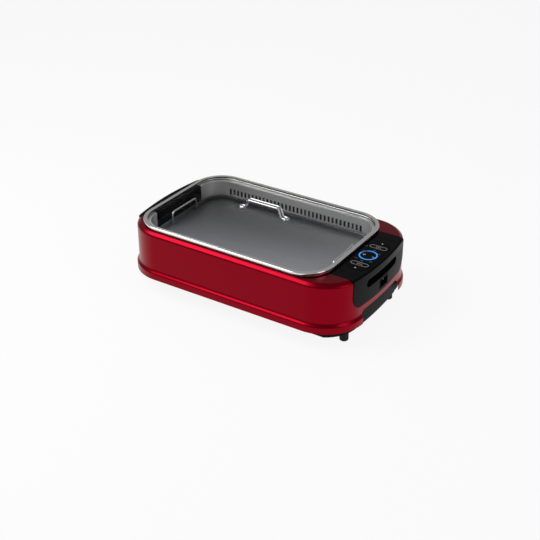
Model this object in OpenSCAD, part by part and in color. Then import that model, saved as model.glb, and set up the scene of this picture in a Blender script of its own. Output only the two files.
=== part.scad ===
/* [Body shell] */
// Length of the red shell's wall, over its bowed ends
shell_l = 524; // [500:1:560]
// Width of the red shell's wall
shell_w = 311; // [300:1:330]
// Radius of the shell's corners, seen from above
corner_r = 81; // [70:1:90]
// Radius of the slow bow of the two ends
bow_r = 924; // [700:1:1500]
// Height of the shell's flat top above the table
top_z = 142; // [138:0.5:150]
// Sheet thickness of the shell
shell_t = 1.2; // [0.8:0.1:1.6]
// Width of the bevel around the shell's top
bevel_w = 8; // [6:0.5:9]
// Height of that bevel
bevel_h = 6; // [4:0.5:8]
// How far the skirt stands out from the wall
flare = 5; // [3:0.5:7]
// Height of the sloping part of the skirt
flare_h = 5.5; // [3:0.5:8]
// Height of the skirt's upright band
skirt_h = 14; // [10:0.5:18]
// Height of the skirt's lower edge above the table
skirt_z = 37.5; // [34:0.5:40]

/* [End notches] */
// Width of the notch that each end piece fills
notch_w = 204; // [190:1:208]
// Height of the lower edge of the end pieces above the table
notch_z = 76; // [72:0.5:80]
// Radius of the lower corners of the end pieces
notch_r = 26; // [15:1:30]
// Gap between the shell and an end piece
notch_gap = 0.3; // [0.2:0.1:0.6]
// How far an end piece stands proud of the wall
end_proud = 2; // [1:0.25:3]
// Wall thickness of the moulded end pieces
end_t = 2.5; // [2:0.1:3.2]
// Bevel around the top of the end pieces
end_bevel = 3; // [2:0.25:4]
// Radius of the end pieces' outer face
end_r = 600; // [450:10:800]
// Width of the cut-out in the skirt below the controls
arch_w = 150; // [120:1:160]
// Height of that cut-out's top above the table
arch_z = 64; // [60:0.5:68]
// Radius of its upper corners
arch_r = 14; // [8:0.5:20]

/* [Hand grips] */
// Length of the finger slot in each end piece
grip_l = 120; // [100:1:140]
// Height of the finger slot
grip_h = 17; // [14:0.5:19]
// Depth of the finger slot
grip_d = 18; // [12:0.5:20]
// Height of the slot's lower edge above the table
grip_z = 107.5; // [107:0.5:110]

/* [Base and feet] */
// Height of the base pan's underside above the table
base_z = 22; // [18:0.5:26]
// Thickness of the base pan
base_t = 2.5; // [2:0.1:3.5]
// How far the base pan's floor is set in from the shell's ends
base_inset = 9; // [6:0.5:14]
// How far it is set in from the shell's long sides
base_side = 18; // [12:0.5:20]
// Height of the base pan's upper edge above the table
base_top = 71; // [68:0.5:74]
// Diameter of a foot
foot_d = 18; // [15:0.5:22]
// Distance of the feet from the middle, along the length
foot_x = 233; // [220:1:236]
// Distance of the feet from the middle, along the width
foot_y = 92; // [80:1:100]
// Rounding of a foot's tip
foot_round = 3; // [2:0.25:4]
// Diameter of a foot screw
foot_screw_d = 4; // [3:0.5:5]

/* [Cooking well] */
// Distance of the well's middle from the body's middle
well_x = -19; // [-21:0.5:-17]
// Inside length of the well above its ledge
well_l = 414; // [408:1:416]
// Inside width of the well above its ledge
well_w = 256; // [250:1:260]
// Inside corner radius of the well
well_r = 46; // [40:1:56]
// Sheet thickness of the well
well_t = 1; // [0.8:0.1:1.4]
// Width of the ledge that the plate rests on
ledge_w = 8; // [6:0.5:10]
// Height of the ledge above the table
ledge_z = 100; // [98:0.5:102]
// Height of the well's floor above the table
well_z = 57; // [56:0.5:60]
// Width of the well's flange on the shell's top
flange_w = 11; // [9:0.5:12]
// Number of air slots in the back wall
slot_n = 35; // [20:1:37]
// Distance from one air slot to the next
slot_pitch = 9.6; // [9:0.1:10]
// Width of an air slot
slot_w = 5; // [3:0.5:6]
// Height of an air slot
slot_h = 14; // [10:0.5:16]
// Height of the air slots' lower edge above the ledge
slot_rise = 13; // [11:0.5:15]
// Width of the opening in the well's left wall
window_w = 156; // [140:1:170]

/* [Griddle plate] */
// Gap between the griddle plate and the well, all round
plate_gap = 3.5; // [3:0.25:5]
// Height of the griddle plate with its rim
plate_h = 12; // [10:0.5:14]
// Thickness of the griddle plate's floor
plate_t = 4; // [3:0.25:5]
// Thickness of the griddle plate's rim
plate_rim = 5; // [4:0.25:6]
// Distance of a plate handle from the plate's end
lug_in = 8.5; // [8:0.5:12]
// Diameter of the plate handles' wire
loop_d = 4; // [3:0.25:5]
// Distance between the legs of a plate handle
loop_w = 84; // [70:1:96]
// Height of a plate handle above the plate's rim
loop_h = 20; // [16:0.5:22]
// Number of grease slots along the plate's front
drain_n = 5; // [3:1:7]
// Length of a grease slot
drain_l = 16; // [10:1:24]

/* [Drip tray and heater] */
// Gap between the drip tray's lip and the hooks and socket beside it
tray_gap = 2; // [1.5:0.25:5]
// Width of the drip tray's lip
tray_lip = 3; // [2:0.5:5]
// Corner radius of the drip tray
tray_r = 24; // [16:1:30]
// Height of the drip tray
tray_h = 17; // [12:0.5:19]
// Sheet thickness of the drip tray
tray_t = 1.2; // [0.8:0.1:1.6]
// Diameter of the heating tube
tube_d = 7; // [6:0.5:8]
// Distance between the runs of the heating tube
tube_pitch = 34; // [30:1:36]
// Number of runs of the heating tube
tube_n = 6; // [4:2:6]
// Length of the heating tube's straight runs
tube_run = 296; // [260:1:310]
// Height of the heater's cross straps above the table
strap_z = 80; // [79:0.5:82]
// Thickness of the cross straps and of their hooks
strap_t = 2; // [1.5:0.25:3]
// Width of the cross straps
strap_w = 14; // [10:1:20]
// Distance between the two cross straps
strap_gap = 220; // [180:5:250]
// How far the hooks stand out from the well's wall
hook_l = 9; // [8:0.5:10]

/* [Lid] */
// Length of the lid over its rim
lid_l = 442; // [438:1:446]
// Width of the lid over its rim
lid_w = 292.6; // [288:0.2:294]
// Corner radius of the lid's rim
lid_r = 64; // [58:0.5:68]
// Width of the lid's rim
rim_w = 8; // [7:0.25:9]
// Height of the lid's rim
rim_h = 5.2; // [5:0.1:7]
// Thickness of the lid's seal
seal_t = 2.2; // [1.5:0.1:3]
// Thickness of the lid's glass
glass_t = 3; // [2.5:0.25:3.5]
// Height of the lid's dome above its edge
dome_h = 18; // [14:0.5:24]
// Diameter of the lid handle's wire
wire_d = 3.5; // [3:0.1:4.5]
// Distance between the two wires of the lid handle
wire_gap = 9; // [8.5:0.5:13]
// Distance between the two eyelets of the lid handle
eye_span = 106; // [100:1:120]
// Length of the lid handle's upper bars
bar_l = 74; // [60:1:78]
// Distance of the lid handle from the lid's middle, towards the controls
handle_x = 8; // [-10:1:10]
// Height of the lid handle above the glass
handle_h = 24; // [20:0.5:30]
// Diameter of the lid handle's screws
lid_screw_d = 3.5; // [3:0.25:4]

/* [Controls] */
// Length of the glossy control panel
panel_l = 126; // [112:1:134]
// Width of the control panel
panel_w = 46; // [42:1:48]
// Corner radius of the control panel
panel_r = 21; // [14:0.5:21]
// Thickness of the control panel
panel_t = 1.6; // [1.2:0.1:2]
// Distance of the panel's middle from the body's middle
panel_x = 231.5; // [230:0.5:233]
// Outer diameter of the light ring
ring_d = 37; // [30:0.5:40]
// Width of the light ring
ring_w = 2.6; // [1.5:0.1:4]
// Length of the circuit board
board_l = 112; // [90:1:130]
// Width of the circuit board
board_w = 36; // [30:1:38]
// Thickness of the circuit board
board_t = 1.6; // [1:0.1:2]
// Width of the power inlet
inlet_w = 34; // [28:0.5:38]
// Height of the power inlet
inlet_h = 22; // [18:0.5:23]
// Distance of the power inlet from the body's middle
inlet_y = 4; // [-6:1:6]
// Depth of the power inlet
inlet_d = 22; // [18:0.5:26]
// Diameter of an inlet pin
inlet_pin_d = 4.8; // [4:0.2:5]

/* [Fan] */
// Diameter of the fan wheel
wheel_d = 76; // [66:1:80]
// Height of the fan wheel's blades
blade_h = 11; // [8:0.5:12]
// Number of blades
blade_n = 24; // [16:1:30]
// Diameter of the fan motor
motor_d = 24; // [20:0.5:26]
// Diameter of the fan shaft
shaft_d = 3; // [2.5:0.25:4]
// Running clearance around the fan shaft
shaft_gap = 0.05; // [0.03:0.01:0.08]
// Wall thickness of the fan casing and the air duct
duct_t = 1.5; // [1.2:0.1:2]
// Outside height of the fan casing
casing_h = 19; // [18:0.5:20]
// Distance of the fan's middle from the body's middle, across
fan_y = 88; // [84:0.5:90]

/* [Hidden] */
$fn = 96;
eps = 0.01;
half_l = shell_l / 2;
half_w = shell_w / 2;
bow_x = half_l - bow_r;
corner_y = half_w - corner_r;
corner_x = bow_x + sqrt(pow(bow_r - corner_r, 2) - pow(corner_y, 2));
bow_slope = corner_y / (corner_x - bow_x);
bow_lap = 0.3;
wall_z0 = skirt_z + skirt_h + flare_h;
wall_z1 = top_z - bevel_h;
half_notch = notch_w / 2;
seat_gap = 0.02;

// Base pan and its screws
pan_gap = 1;
boss_h = 10;
boss_wall = 3;
post_x = 140;
post_y = 70;
post_d = 14;
pad_l = 18;
pad_t = 3;
pad_h = 10;
shell_screw_x = [-150, 0, 150];
shell_screw_d = 4;
shell_screw_z = (wall_z0 + base_top) / 2 + 0.5;
screw_sink = 8;

// Cooking well
well_hl = well_l / 2;
well_hw = well_w / 2;
tub_hl = well_hl - ledge_w;
tub_hw = well_hw - ledge_w;
tub_r = well_r - ledge_w;
flange_hl = well_hl + flange_w;
flange_hw = well_hw + flange_w + 4;
flange_r = lid_r - 3;
flange_z = top_z + well_t;
slot_z = ledge_z + slot_rise;
notch_in = well_x + flange_hl + 0.5;
cap_in = well_x - flange_hl - 0.5;

// Griddle plate
plate_hl = well_hl - plate_gap;
plate_hw = well_hw - plate_gap;
plate_r = well_r - plate_gap;
plate_top = ledge_z + plate_h;
lug_x = plate_hl - lug_in;
lug_d = loop_d + 4;
groove_w = 6;
groove_d = 1.2;
drain_w = 3;
loop_seat = plate_h - plate_t;

// Drip tray and heater
socket_l = 12;
tray_hl = tub_hl - socket_l - tray_gap - tray_lip;
tray_hw = tub_hw - hook_l - tray_gap - tray_lip;
tube_z = strap_z + strap_t + tube_d / 2;
tube_half = tube_run / 2;
hook_out = tub_hw - hook_l;
socket_drop = 6;
contact_y = 18;
contact_d = 5;
contact_l = 8;
contact_x = well_x + tub_hl - socket_l / 2;
block_z = strap_z - socket_drop + 0.5;
block_x = well_x + tub_hl - 2;
block_h = 14;
bend_clear = 3;
tube_end = tube_half + tube_pitch / 2 + tube_d / 2 + bend_clear;
block_w = (tube_n - 1) * tube_pitch + tube_d + 8;
socket_w = 60;
socket_h = 10;

// Lid
lid_hl = lid_l / 2;
lid_hw = lid_w / 2;
seal_z = flange_z;
rim_z = seal_z + seal_t;
rim_lip = 1.2;
glass_z = rim_z + rim_lip;
glass_inset = 1.5;
glass_hl = lid_hl - glass_inset;
glass_hw = lid_hw - glass_inset;
glass_r = lid_r - glass_inset;
dome_z = glass_z + glass_t + dome_h;
dome_n = 9;
outline_n = 12;
flat_hl = 74;
flat_hw = 14;
flat_r = 13;
eye_r = wire_gap / 2;
wire_r = wire_d / 2;
knuckle = 1.06;
washer_t = 1;
washer_d = wire_gap + wire_d + 1;
wire_foot_z = dome_z + washer_t + wire_r + eps;
foot_in = 9;
screw_head_h = 1.6;
screw_head_d = wire_gap - wire_d - 0.4;
nut_d = 8;
nut_h = 3.2;
screw_at = [for (s = [-1, 1]) well_x + handle_x + s * eye_span / 2];

// Controls
panel_top = top_z + 0.4;
ring_x = panel_x - 2;
ring_rise = 0.25;
ring_deep = 0.8;
board_post_d = 7;
board_screw_d = 2.5;
board_gap = 0.5;
board_z = max(top_z - end_t - 12, grip_z + grip_h + end_t + board_screw_d / 2 + board_gap);
board_dx = board_w / 2 - 5;
board_dy = board_l / 2 - 6;
board_posts = [for (sx = [-1, 1], sy = [-1, 1]) [sx * board_dx, sy * board_dy]];
face_x = half_l + end_proud;
inlet_z = min(notch_z + 6.5, grip_z - end_t - inlet_h - 1);
inlet_t = 1.8;
inlet_proud = 0.3;
pin_reach = 14;
inlet_pin_at = [[inlet_y - 8, 0], [inlet_y + 8, 0]];

// Fan
casing_z = base_z + base_t;
casing_top = casing_z + casing_h;
casing_hw = wheel_d / 2 + 8;
wheel_z = casing_z + duct_t + 1.2;
disc_t = 1.5;
cup_t = 1.6;
cup_r = motor_d / 2 + 1 + cup_t;
motor_h = casing_h - 2 * duct_t - 6;
eye_hole_r = wheel_d / 2 - 9;
cup_top = casing_z + duct_t + motor_h + 1.2;
duct_hl = slot_n * slot_pitch / 2 + 5;
duct_y0 = well_hw + well_t;
duct_y1 = duct_y0 + 16;
duct_z0 = slot_z - 8;
duct_z1 = slot_z + slot_h + 6;
chute_hl = 42;
outlet_w = 34;
vent_n = 9;
base_hw = max(half_w - base_side, fan_y + casing_hw + base_t + 0.5);
vent_x = well_x - casing_hw - 95;
casing_screw_d = 3;
casing_screw_in = 5;
casing_screw_at = [for (sx = [-1, 1], sy = [-1, 1])
    [sx * (casing_hw - casing_screw_in), sy * (casing_hw - casing_screw_in)]];

// A rounded rectangle of half length hl and half width hw.
module rounded(hl, hw, r) {
    square([2 * hl, 2 * (hw - r)], center = true);
    square([2 * (hl - r), 2 * hw], center = true);
    for (sx = [-1, 1], sy = [-1, 1]) translate([sx * (hl - r), sy * (hw - r)]) circle(r);
}

// The same, as a solid from z0 to z1.
module rounded_slab(hl, hw, r, z0, z1) {
    translate([0, 0, z0]) linear_extrude(z1 - z0) rounded(hl, hw, r);
}

// One bowed end of a straight wall: a wedge of a wide cylinder.
module bow_wedge(z0, z1, d) {
    reach = half_l + flare + 5;
    far_y = (reach - bow_x) * bow_slope;
    near_y = -bow_x * bow_slope;
    intersection() {
        translate([bow_x, 0, z0]) cylinder(h = z1 - z0, r = bow_r + d, $fn = 400);
        translate([0, 0, z0]) linear_extrude(z1 - z0)
            polygon([[0, -near_y], [reach, -far_y], [reach, far_y], [0, near_y]]);
    }
}

// The body's outline as an upright solid, d outside the wall.
module body_block(z0, z1, d) {
    h = z1 - z0;
    union() {
        for (sx = [-1, 1], sy = [-1, 1]) translate([sx * corner_x, sy * corner_y, z0])
            cylinder(h = h, r = corner_r + d);
        translate([-corner_x, -half_w - d, z0]) cube([2 * corner_x, 2 * (half_w + d), h]);
        for (side = [0, 180]) rotate([0, 0, side]) bow_wedge(z0, z1, d);
    }
}

// The body's outline as a solid whose wall follows steps of [height, distance outside the wall].
// The bowed ends stop bow_lap degrees short of where the corners meet them.
module body_form(steps) {
    n = len(steps);
    low = steps[0][0];
    high = steps[n - 1][0];
    turn = atan(bow_slope) - bow_lap;
    inner = corner_x - corner_r - bow_x;
    union() {
        for (sx = [-1, 1], sy = [-1, 1]) translate([sx * corner_x, sy * corner_y, 0]) rotate_extrude()
            polygon(concat([[0, low]], [for (s = steps) [corner_r + s[1], s[0]]], [[0, high]]));
        translate([-corner_x, 0, 0]) rotate([90, 0, 90]) linear_extrude(2 * corner_x)
            polygon(concat([for (s = steps) [half_w + s[1], s[0]]],
                [for (i = [n - 1 : -1 : 0]) [-half_w - steps[i][1], steps[i][0]]]));
        for (side = [0, 180]) rotate([0, 0, side]) translate([bow_x, 0, 0]) rotate([0, 0, -turn])
            rotate_extrude(angle = 2 * turn, $fn = 400)
            polygon(concat([[inner, low]], [for (s = steps) [bow_r + s[1], s[0]]], [[inner, high]]));
    }
}

// The outline that an end piece shows on the end wall, pushed through from x0 to x1.
module notch_prism(x0, x1, grow, z1) {
    hw = half_notch + grow;
    z0 = notch_z - grow;
    r = notch_r + grow;
    translate([x0, 0, 0]) rotate([90, 0, 90]) linear_extrude(x1 - x0) union() {
        translate([-hw, z0 + r]) square([2 * hw, z1 - z0 - r]);
        translate([-hw + r, z0]) square([2 * (hw - r), r + 1]);
        for (s = [-1, 1]) translate([s * (hw - r), z0 + r]) circle(r);
    }
}

module outer_shell() {
    far = half_l + flare + 10;
    color("firebrick") difference() {
        body_form([[skirt_z, flare], [skirt_z + skirt_h, flare], [wall_z0, 0], [wall_z1, 0], [top_z, -bevel_w]]);
        body_form([[skirt_z - 1, flare - shell_t], [skirt_z + skirt_h, flare - shell_t], [wall_z0, -shell_t],
            [wall_z1, -shell_t], [top_z - shell_t, -bevel_w]]);
        translate([well_x, 0, 0]) rounded_slab(well_hl + well_t + 0.4, well_hw + well_t + 0.4,
            well_r + well_t, top_z - bevel_h, top_z + 1);
        notch_prism(notch_in, far, notch_gap, top_z + 1);
        notch_prism(-far, cap_in, notch_gap, top_z + 1);
        translate([cap_in - 1, -window_w / 2, top_z - bevel_h])
            cube([well_x - well_hl - cap_in + 1, window_w, bevel_h + 1]);
        translate([corner_x, 0, 0]) rotate([90, 0, 90]) linear_extrude(far - corner_x) union() {
            translate([-arch_w / 2, skirt_z - 1]) square([arch_w, arch_z - skirt_z + 1 - arch_r]);
            translate([-arch_w / 2 + arch_r, arch_z - arch_r - 1]) square([arch_w - 2 * arch_r, arch_r + 1]);
            for (s = [-1, 1]) translate([s * (arch_w / 2 - arch_r), arch_z - arch_r]) circle(arch_r);
        }
        for (x = shell_screw_x) translate([x, half_w + 1, shell_screw_z]) rotate([90, 0, 0])
            cylinder(h = shell_t + 2, d = shell_screw_d, $fn = 32);
    }
}

// The base pan's lower part, inset by a wall where its hollow is wanted.
module base_tub(z0, z1, inset) {
    intersection() {
        body_block(z0, z1, -base_inset - inset);
        translate([-half_l, inset - base_hw, z0]) cube([2 * half_l, 2 * (base_hw - inset), z1 - z0]);
    }
}

module base_pan() {
    lip = skirt_z - 1.5;
    out = -shell_t - pan_gap;
    in = out - base_t;
    pad_y = half_w - shell_t - seat_gap;
    color("dimgray") difference() {
        union() {
            difference() {
                union() {
                    base_tub(base_z, lip, 0);
                    body_block(lip, base_top, out);
                }
                base_tub(base_z + base_t, lip + base_t, base_t);
                body_block(lip + base_t, base_top + 1, in);
            }
            for (sx = [-1, 1], sy = [-1, 1]) translate([sx * foot_x, sy * foot_y, base_z])
                cylinder(h = boss_h + base_t, d = foot_screw_d + 2 * boss_wall, $fn = 48);
            for (sx = [-1, 1], sy = [-1, 1]) translate([well_x + sx * post_x, sy * post_y, base_z])
                cylinder(h = well_z - well_t - base_z, d = post_d, $fn = 48);
            for (x = shell_screw_x, s = [-1, 1])
                translate([x - pad_l / 2, s > 0 ? pad_y - pad_t : -pad_y, shell_screw_z - pad_h / 2])
                    cube([pad_l, pad_t, pad_h]);
        }
        for (sx = [-1, 1], sy = [-1, 1]) translate([sx * foot_x, sy * foot_y, base_z - 1])
            cylinder(h = boss_h + 1, d = foot_screw_d, $fn = 32);
        for (x = shell_screw_x) translate([x, half_w, shell_screw_z]) rotate([90, 0, 0])
            cylinder(h = shell_t + base_t + 4, d = shell_screw_d, $fn = 32);
        for (i = [0 : vent_n - 1]) translate([vent_x + i * 9, fan_y - outlet_w / 2, base_z - 1])
            cube([4, outlet_w, base_t + 2]);
        for (p = casing_screw_at) translate([well_x + p[0], fan_y + p[1], base_z - 1])
            cylinder(h = base_t + 2, d = casing_screw_d, $fn = 32);
    }
}

// One foot, standing at the origin, with a recess for its screw.
module foot() {
    r = foot_d / 2;
    color("black") difference() {
        rotate_extrude() union() {
            square([r - foot_round, base_z]);
            translate([0, foot_round]) square([r, base_z - foot_round]);
            translate([r - foot_round, foot_round]) circle(foot_round, $fn = 32);
        }
        translate([0, 0, -1]) cylinder(h = base_z + 2, d = foot_screw_d, $fn = 32);
        translate([0, 0, -1]) cylinder(h = 1 + screw_sink, d = 2 * foot_screw_d, $fn = 48);
    }
}

module foot_front_left() { translate([-foot_x, -foot_y, 0]) foot(); }
module foot_front_right() { translate([foot_x, -foot_y, 0]) foot(); }
module foot_rear_left() { translate([-foot_x, foot_y, 0]) foot(); }
module foot_rear_right() { translate([foot_x, foot_y, 0]) foot(); }

// A screw with a pan head below the origin and its shank above.
module screw(d, length) {
    cylinder(h = length, d = d, $fn = 32);
    translate([0, 0, -0.5 * d]) cylinder(h = 0.5 * d, d = 1.8 * d, $fn = 48);
}

module foot_screws() {
    color("silver") for (sx = [-1, 1], sy = [-1, 1])
        translate([sx * foot_x, sy * foot_y, screw_sink])
            screw(foot_screw_d, base_z + boss_h - screw_sink - 1);
}

module shell_screws() {
    color("silver") for (x = shell_screw_x) translate([x, half_w, shell_screw_z])
        rotate([90, 0, 0]) screw(shell_screw_d, shell_t + base_t + 1);
}

module cooking_well() {
    color("lightgray") translate([well_x, 0, 0]) difference() {
        union() {
            rounded_slab(well_hl + well_t, well_hw + well_t, well_r + well_t, ledge_z - well_t, flange_z);
            rounded_slab(tub_hl + well_t, tub_hw + well_t, tub_r + well_t, well_z - well_t, ledge_z);
            rounded_slab(flange_hl, flange_hw, flange_r, top_z + seat_gap, flange_z);
        }
        rounded_slab(well_hl, well_hw, well_r, ledge_z, flange_z + 1);
        rounded_slab(tub_hl, tub_hw, tub_r, well_z, ledge_z + 1);
        for (i = [0 : slot_n - 1]) translate([(i - (slot_n - 1) / 2) * slot_pitch - slot_w / 2,
            well_hw - 1, slot_z]) cube([slot_w, well_t + 2, slot_h]);
        translate([-flange_hl - 1, -window_w / 2, ledge_z + 1])
            cube([flange_w + well_t + 4, window_w, flange_z - ledge_z]);
    }
}

module heater_hooks() {
    color("gainsboro") for (sx = [-1, 1], sy = [-1, 1])
        translate([well_x + sx * strap_gap / 2, 0, 0]) mirror([0, sy > 0 ? 0 : 1, 0])
            translate([-strap_w / 2, hook_out, strap_z - 8]) union() {
                translate([0, 0, 8 - strap_t]) cube([strap_w, hook_l, strap_t]);
                translate([0, hook_l - strap_t, 0]) cube([strap_w, strap_t, 8]);
            }
}

module heater_socket() {
    right = well_x + tub_hl;
    color("ivory") difference() {
        translate([right - socket_l, -socket_w / 2, strap_z - socket_drop - socket_h])
            cube([socket_l, socket_w, socket_h]);
        for (s = [-1, 1]) translate([right - socket_l / 2, s * contact_y, strap_z - socket_drop - contact_l])
            cylinder(h = contact_l + 1, d = contact_d + 0.6, $fn = 32);
    }
}

// An end piece's outer form; the left one is its mirror image.
module end_form(x0) {
    bevel_z = top_z - end_bevel;
    intersection() {
        translate([face_x - end_r, 0, 0]) union() {
            translate([0, 0, notch_z - 1]) cylinder(h = bevel_z - notch_z + 1, r = end_r, $fn = 400);
            translate([0, 0, bevel_z])
                cylinder(h = end_bevel, r1 = end_r, r2 = end_r - end_bevel, $fn = 400);
        }
        notch_prism(x0, face_x + 5, 0, top_z);
    }
}

// Its hollow, one wall thickness in.
module end_hollow(x0) {
    intersection() {
        translate([face_x - end_r, 0, notch_z]) cylinder(h = top_z - notch_z, r = end_r - end_t, $fn = 400);
        notch_prism(x0, face_x, -end_t, top_z - end_t);
    }
}

// The finger slot, grown by a wall where its pocket is wanted.
module grip_slot(grow) {
    r = grip_h / 2 + grow;
    deep = grip_d + grow;
    half = grip_l / 2 + grow;
    translate([face_x - deep, 0, grip_z + grip_h / 2]) rotate([90, 0, 90]) linear_extrude(deep + 3 - grow)
        union() {
            square([2 * (half - r), 2 * r], center = true);
            for (s = [-1, 1]) translate([s * (half - r), 0]) circle(r, $fn = 48);
        }
}

// Shared shell of an end piece: skin, finger pocket and its hollow.
module end_shell(x0) {
    difference() {
        union() {
            difference() {
                end_form(x0);
                end_hollow(x0 - 1);
            }
            intersection() {
                end_form(x0);
                grip_slot(end_t);
            }
        }
        grip_slot(0);
    }
}

module end_cap() {
    left = well_x - well_hl;
    tongue_w = window_w - 2 * notch_gap;
    color("black") union() {
        mirror([1, 0, 0]) end_shell(-cap_in);
        translate([cap_in - end_t, -tongue_w / 2, top_z - end_t])
            cube([left - cap_in + end_t, tongue_w, flange_z - top_z + end_t]);
        translate([left - end_t, -tongue_w / 2, ledge_z + 1 + notch_gap])
            cube([end_t, tongue_w, flange_z - ledge_z - 1 - notch_gap]);
    }
}

module control_housing() {
    color("black") difference() {
        union() {
            end_shell(notch_in);
            for (p = board_posts) translate([panel_x + p[0], p[1], board_z + board_t])
                cylinder(h = top_z - board_z - board_t - panel_t, d = board_post_d, $fn = 48);
        }
        translate([panel_x, 0, 0]) rounded_slab(panel_w / 2 + 0.1, panel_l / 2 + 0.1, panel_r + 0.1,
            panel_top - panel_t, top_z + 1);
        translate([face_x - inlet_d - 4, inlet_y - inlet_w / 2, inlet_z]) cube([inlet_d + 8, inlet_w, inlet_h]);
        for (p = board_posts) translate([panel_x + p[0], p[1], board_z])
            cylinder(h = 8, d = board_screw_d, $fn = 32);
    }
}

module control_panel() {
    color("black") difference() {
        translate([panel_x, 0, 0]) rounded_slab(panel_w / 2, panel_l / 2, panel_r,
            panel_top - panel_t, panel_top);
        translate([ring_x, 0, panel_top - ring_deep]) difference() {
            cylinder(h = 2, d = ring_d);
            translate([0, 0, -1]) cylinder(h = 4, d = ring_d - 2 * ring_w);
        }
    }
}

module light_ring() {
    color("deepskyblue") translate([ring_x, 0, panel_top - ring_deep]) difference() {
        cylinder(h = ring_deep + ring_rise, d = ring_d);
        translate([0, 0, -1]) cylinder(h = 4, d = ring_d - 2 * ring_w);
    }
}

module control_board() {
    color("darkgreen") difference() {
        translate([panel_x, 0, board_z]) union() {
            translate([-board_w / 2, -board_l / 2, 0]) cube([board_w, board_l, board_t]);
            translate([-9, -30, -9]) cube([15, 20, 9]);
            translate([-9, 6, -6]) cube([14, 14, 6]);
            translate([4, 30, 0]) cylinder(h = 6, d = 8, $fn = 32);
        }
        for (p = board_posts) translate([panel_x + p[0], p[1], board_z - 1])
            cylinder(h = board_t + 2, d = board_screw_d, $fn = 32);
    }
}

module board_screws() {
    color("silver") for (p = board_posts) translate([panel_x + p[0], p[1], board_z])
        screw(board_screw_d, board_t + 6);
}

module inlet_socket() {
    color("black") difference() {
        translate([face_x - inlet_d, inlet_y - inlet_w / 2, inlet_z])
            cube([inlet_d + inlet_proud, inlet_w, inlet_h]);
        translate([face_x - inlet_d + 3, inlet_y - inlet_w / 2 + inlet_t, inlet_z + inlet_t])
            cube([inlet_d, inlet_w - 2 * inlet_t, inlet_h - 2 * inlet_t]);
        for (p = inlet_pin_at) translate([face_x - inlet_d - 1, p[0], inlet_z + inlet_h / 2 + p[1]])
            rotate([0, 90, 0]) cylinder(h = 5, d = inlet_pin_d, $fn = 32);
    }
}

module inlet_pins() {
    color("gold") for (p = inlet_pin_at) translate([face_x - inlet_d - 3, p[0], inlet_z + inlet_h / 2 + p[1]])
        rotate([0, 90, 0]) cylinder(h = pin_reach + 6, d = inlet_pin_d, $fn = 32);
}

module air_duct() {
    plenum_y = fan_y - eye_hole_r - 4;
    under = well_z - well_t;
    color("gray") difference() {
        translate([well_x, 0, 0]) union() {
            translate([-duct_hl, duct_y0, duct_z0]) cube([2 * duct_hl, duct_y1 - duct_y0, duct_z1 - duct_z0]);
            translate([-chute_hl, duct_y0, casing_top]) cube([2 * chute_hl, duct_y1 - duct_y0, duct_z0 + 1 - casing_top]);
            translate([-chute_hl, plenum_y, casing_top]) cube([2 * chute_hl, duct_y1 - plenum_y, under - casing_top]);
        }
        translate([well_x, 0, 0]) {
            translate([-duct_hl + duct_t, duct_y0 - 1, duct_z0 + duct_t])
                cube([2 * (duct_hl - duct_t), duct_y1 - duct_y0 + 1 - duct_t, duct_z1 - duct_z0 - 2 * duct_t]);
            translate([-chute_hl + duct_t, duct_y0 + duct_t, casing_top - 1])
                cube([2 * (chute_hl - duct_t), duct_y1 - duct_y0 - 2 * duct_t, duct_z0 + 4 - casing_top]);
            translate([-chute_hl + duct_t, plenum_y + duct_t, casing_top - 1])
                cube([2 * (chute_hl - duct_t), duct_y1 - plenum_y - 2 * duct_t, under + 1 - casing_top - duct_t]);
        }
    }
}

module fan_casing() {
    color("dimgray") difference() {
        translate([well_x - casing_hw, fan_y - casing_hw, casing_z]) cube([2 * casing_hw, 2 * casing_hw, casing_h]);
        translate([well_x, fan_y, casing_z + duct_t]) cylinder(h = casing_h - 2 * duct_t, d = wheel_d + 7);
        translate([well_x, fan_y, casing_z]) cylinder(h = casing_h + 1, r = eye_hole_r);
        translate([well_x, fan_y, casing_z - 1]) cylinder(h = duct_t + 2, d = motor_d, $fn = 64);
        translate([well_x - casing_hw - 1, fan_y - outlet_w / 2, casing_z + duct_t])
            cube([casing_hw, outlet_w, casing_h - 2 * duct_t]);
        for (p = casing_screw_at) translate([well_x + p[0], fan_y + p[1], casing_z - 1])
            cylinder(h = 10, d = casing_screw_d, $fn = 32);
    }
}

module fan_motor() {
    color("silver") translate([well_x, fan_y, casing_z]) difference() {
        cylinder(h = duct_t + motor_h, d = motor_d, $fn = 64);
        translate([0, 0, 3]) cylinder(h = motor_h + 10, d = shaft_d + 2 * shaft_gap, $fn = 32);
    }
}

module fan_wheel() {
    wheel_r = wheel_d / 2;
    color("dimgray") translate([well_x, fan_y, 0]) difference() {
        union() {
            translate([0, 0, wheel_z]) cylinder(h = disc_t, r = wheel_r);
            translate([0, 0, wheel_z]) cylinder(h = cup_top + cup_t - wheel_z, r = cup_r);
            for (i = [0 : blade_n - 1]) rotate([0, 0, i * 360 / blade_n])
                translate([wheel_r - 13, -0.6, wheel_z]) rotate([0, 0, 20]) cube([12, 1.2, blade_h]);
        }
        translate([0, 0, wheel_z - 1]) cylinder(h = cup_top + 1 - wheel_z, r = cup_r - cup_t);
        cylinder(h = 200, d = shaft_d, $fn = 32);
    }
}

module fan_shaft() {
    color("silver") translate([well_x, fan_y, casing_z + 3.5])
        cylinder(h = cup_top + cup_t - casing_z - 3.5, d = shaft_d, $fn = 32);
}

module casing_screws() {
    color("silver") for (p = casing_screw_at) translate([well_x + p[0], fan_y + p[1], base_z])
        screw(casing_screw_d, base_t + 7);
}

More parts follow.
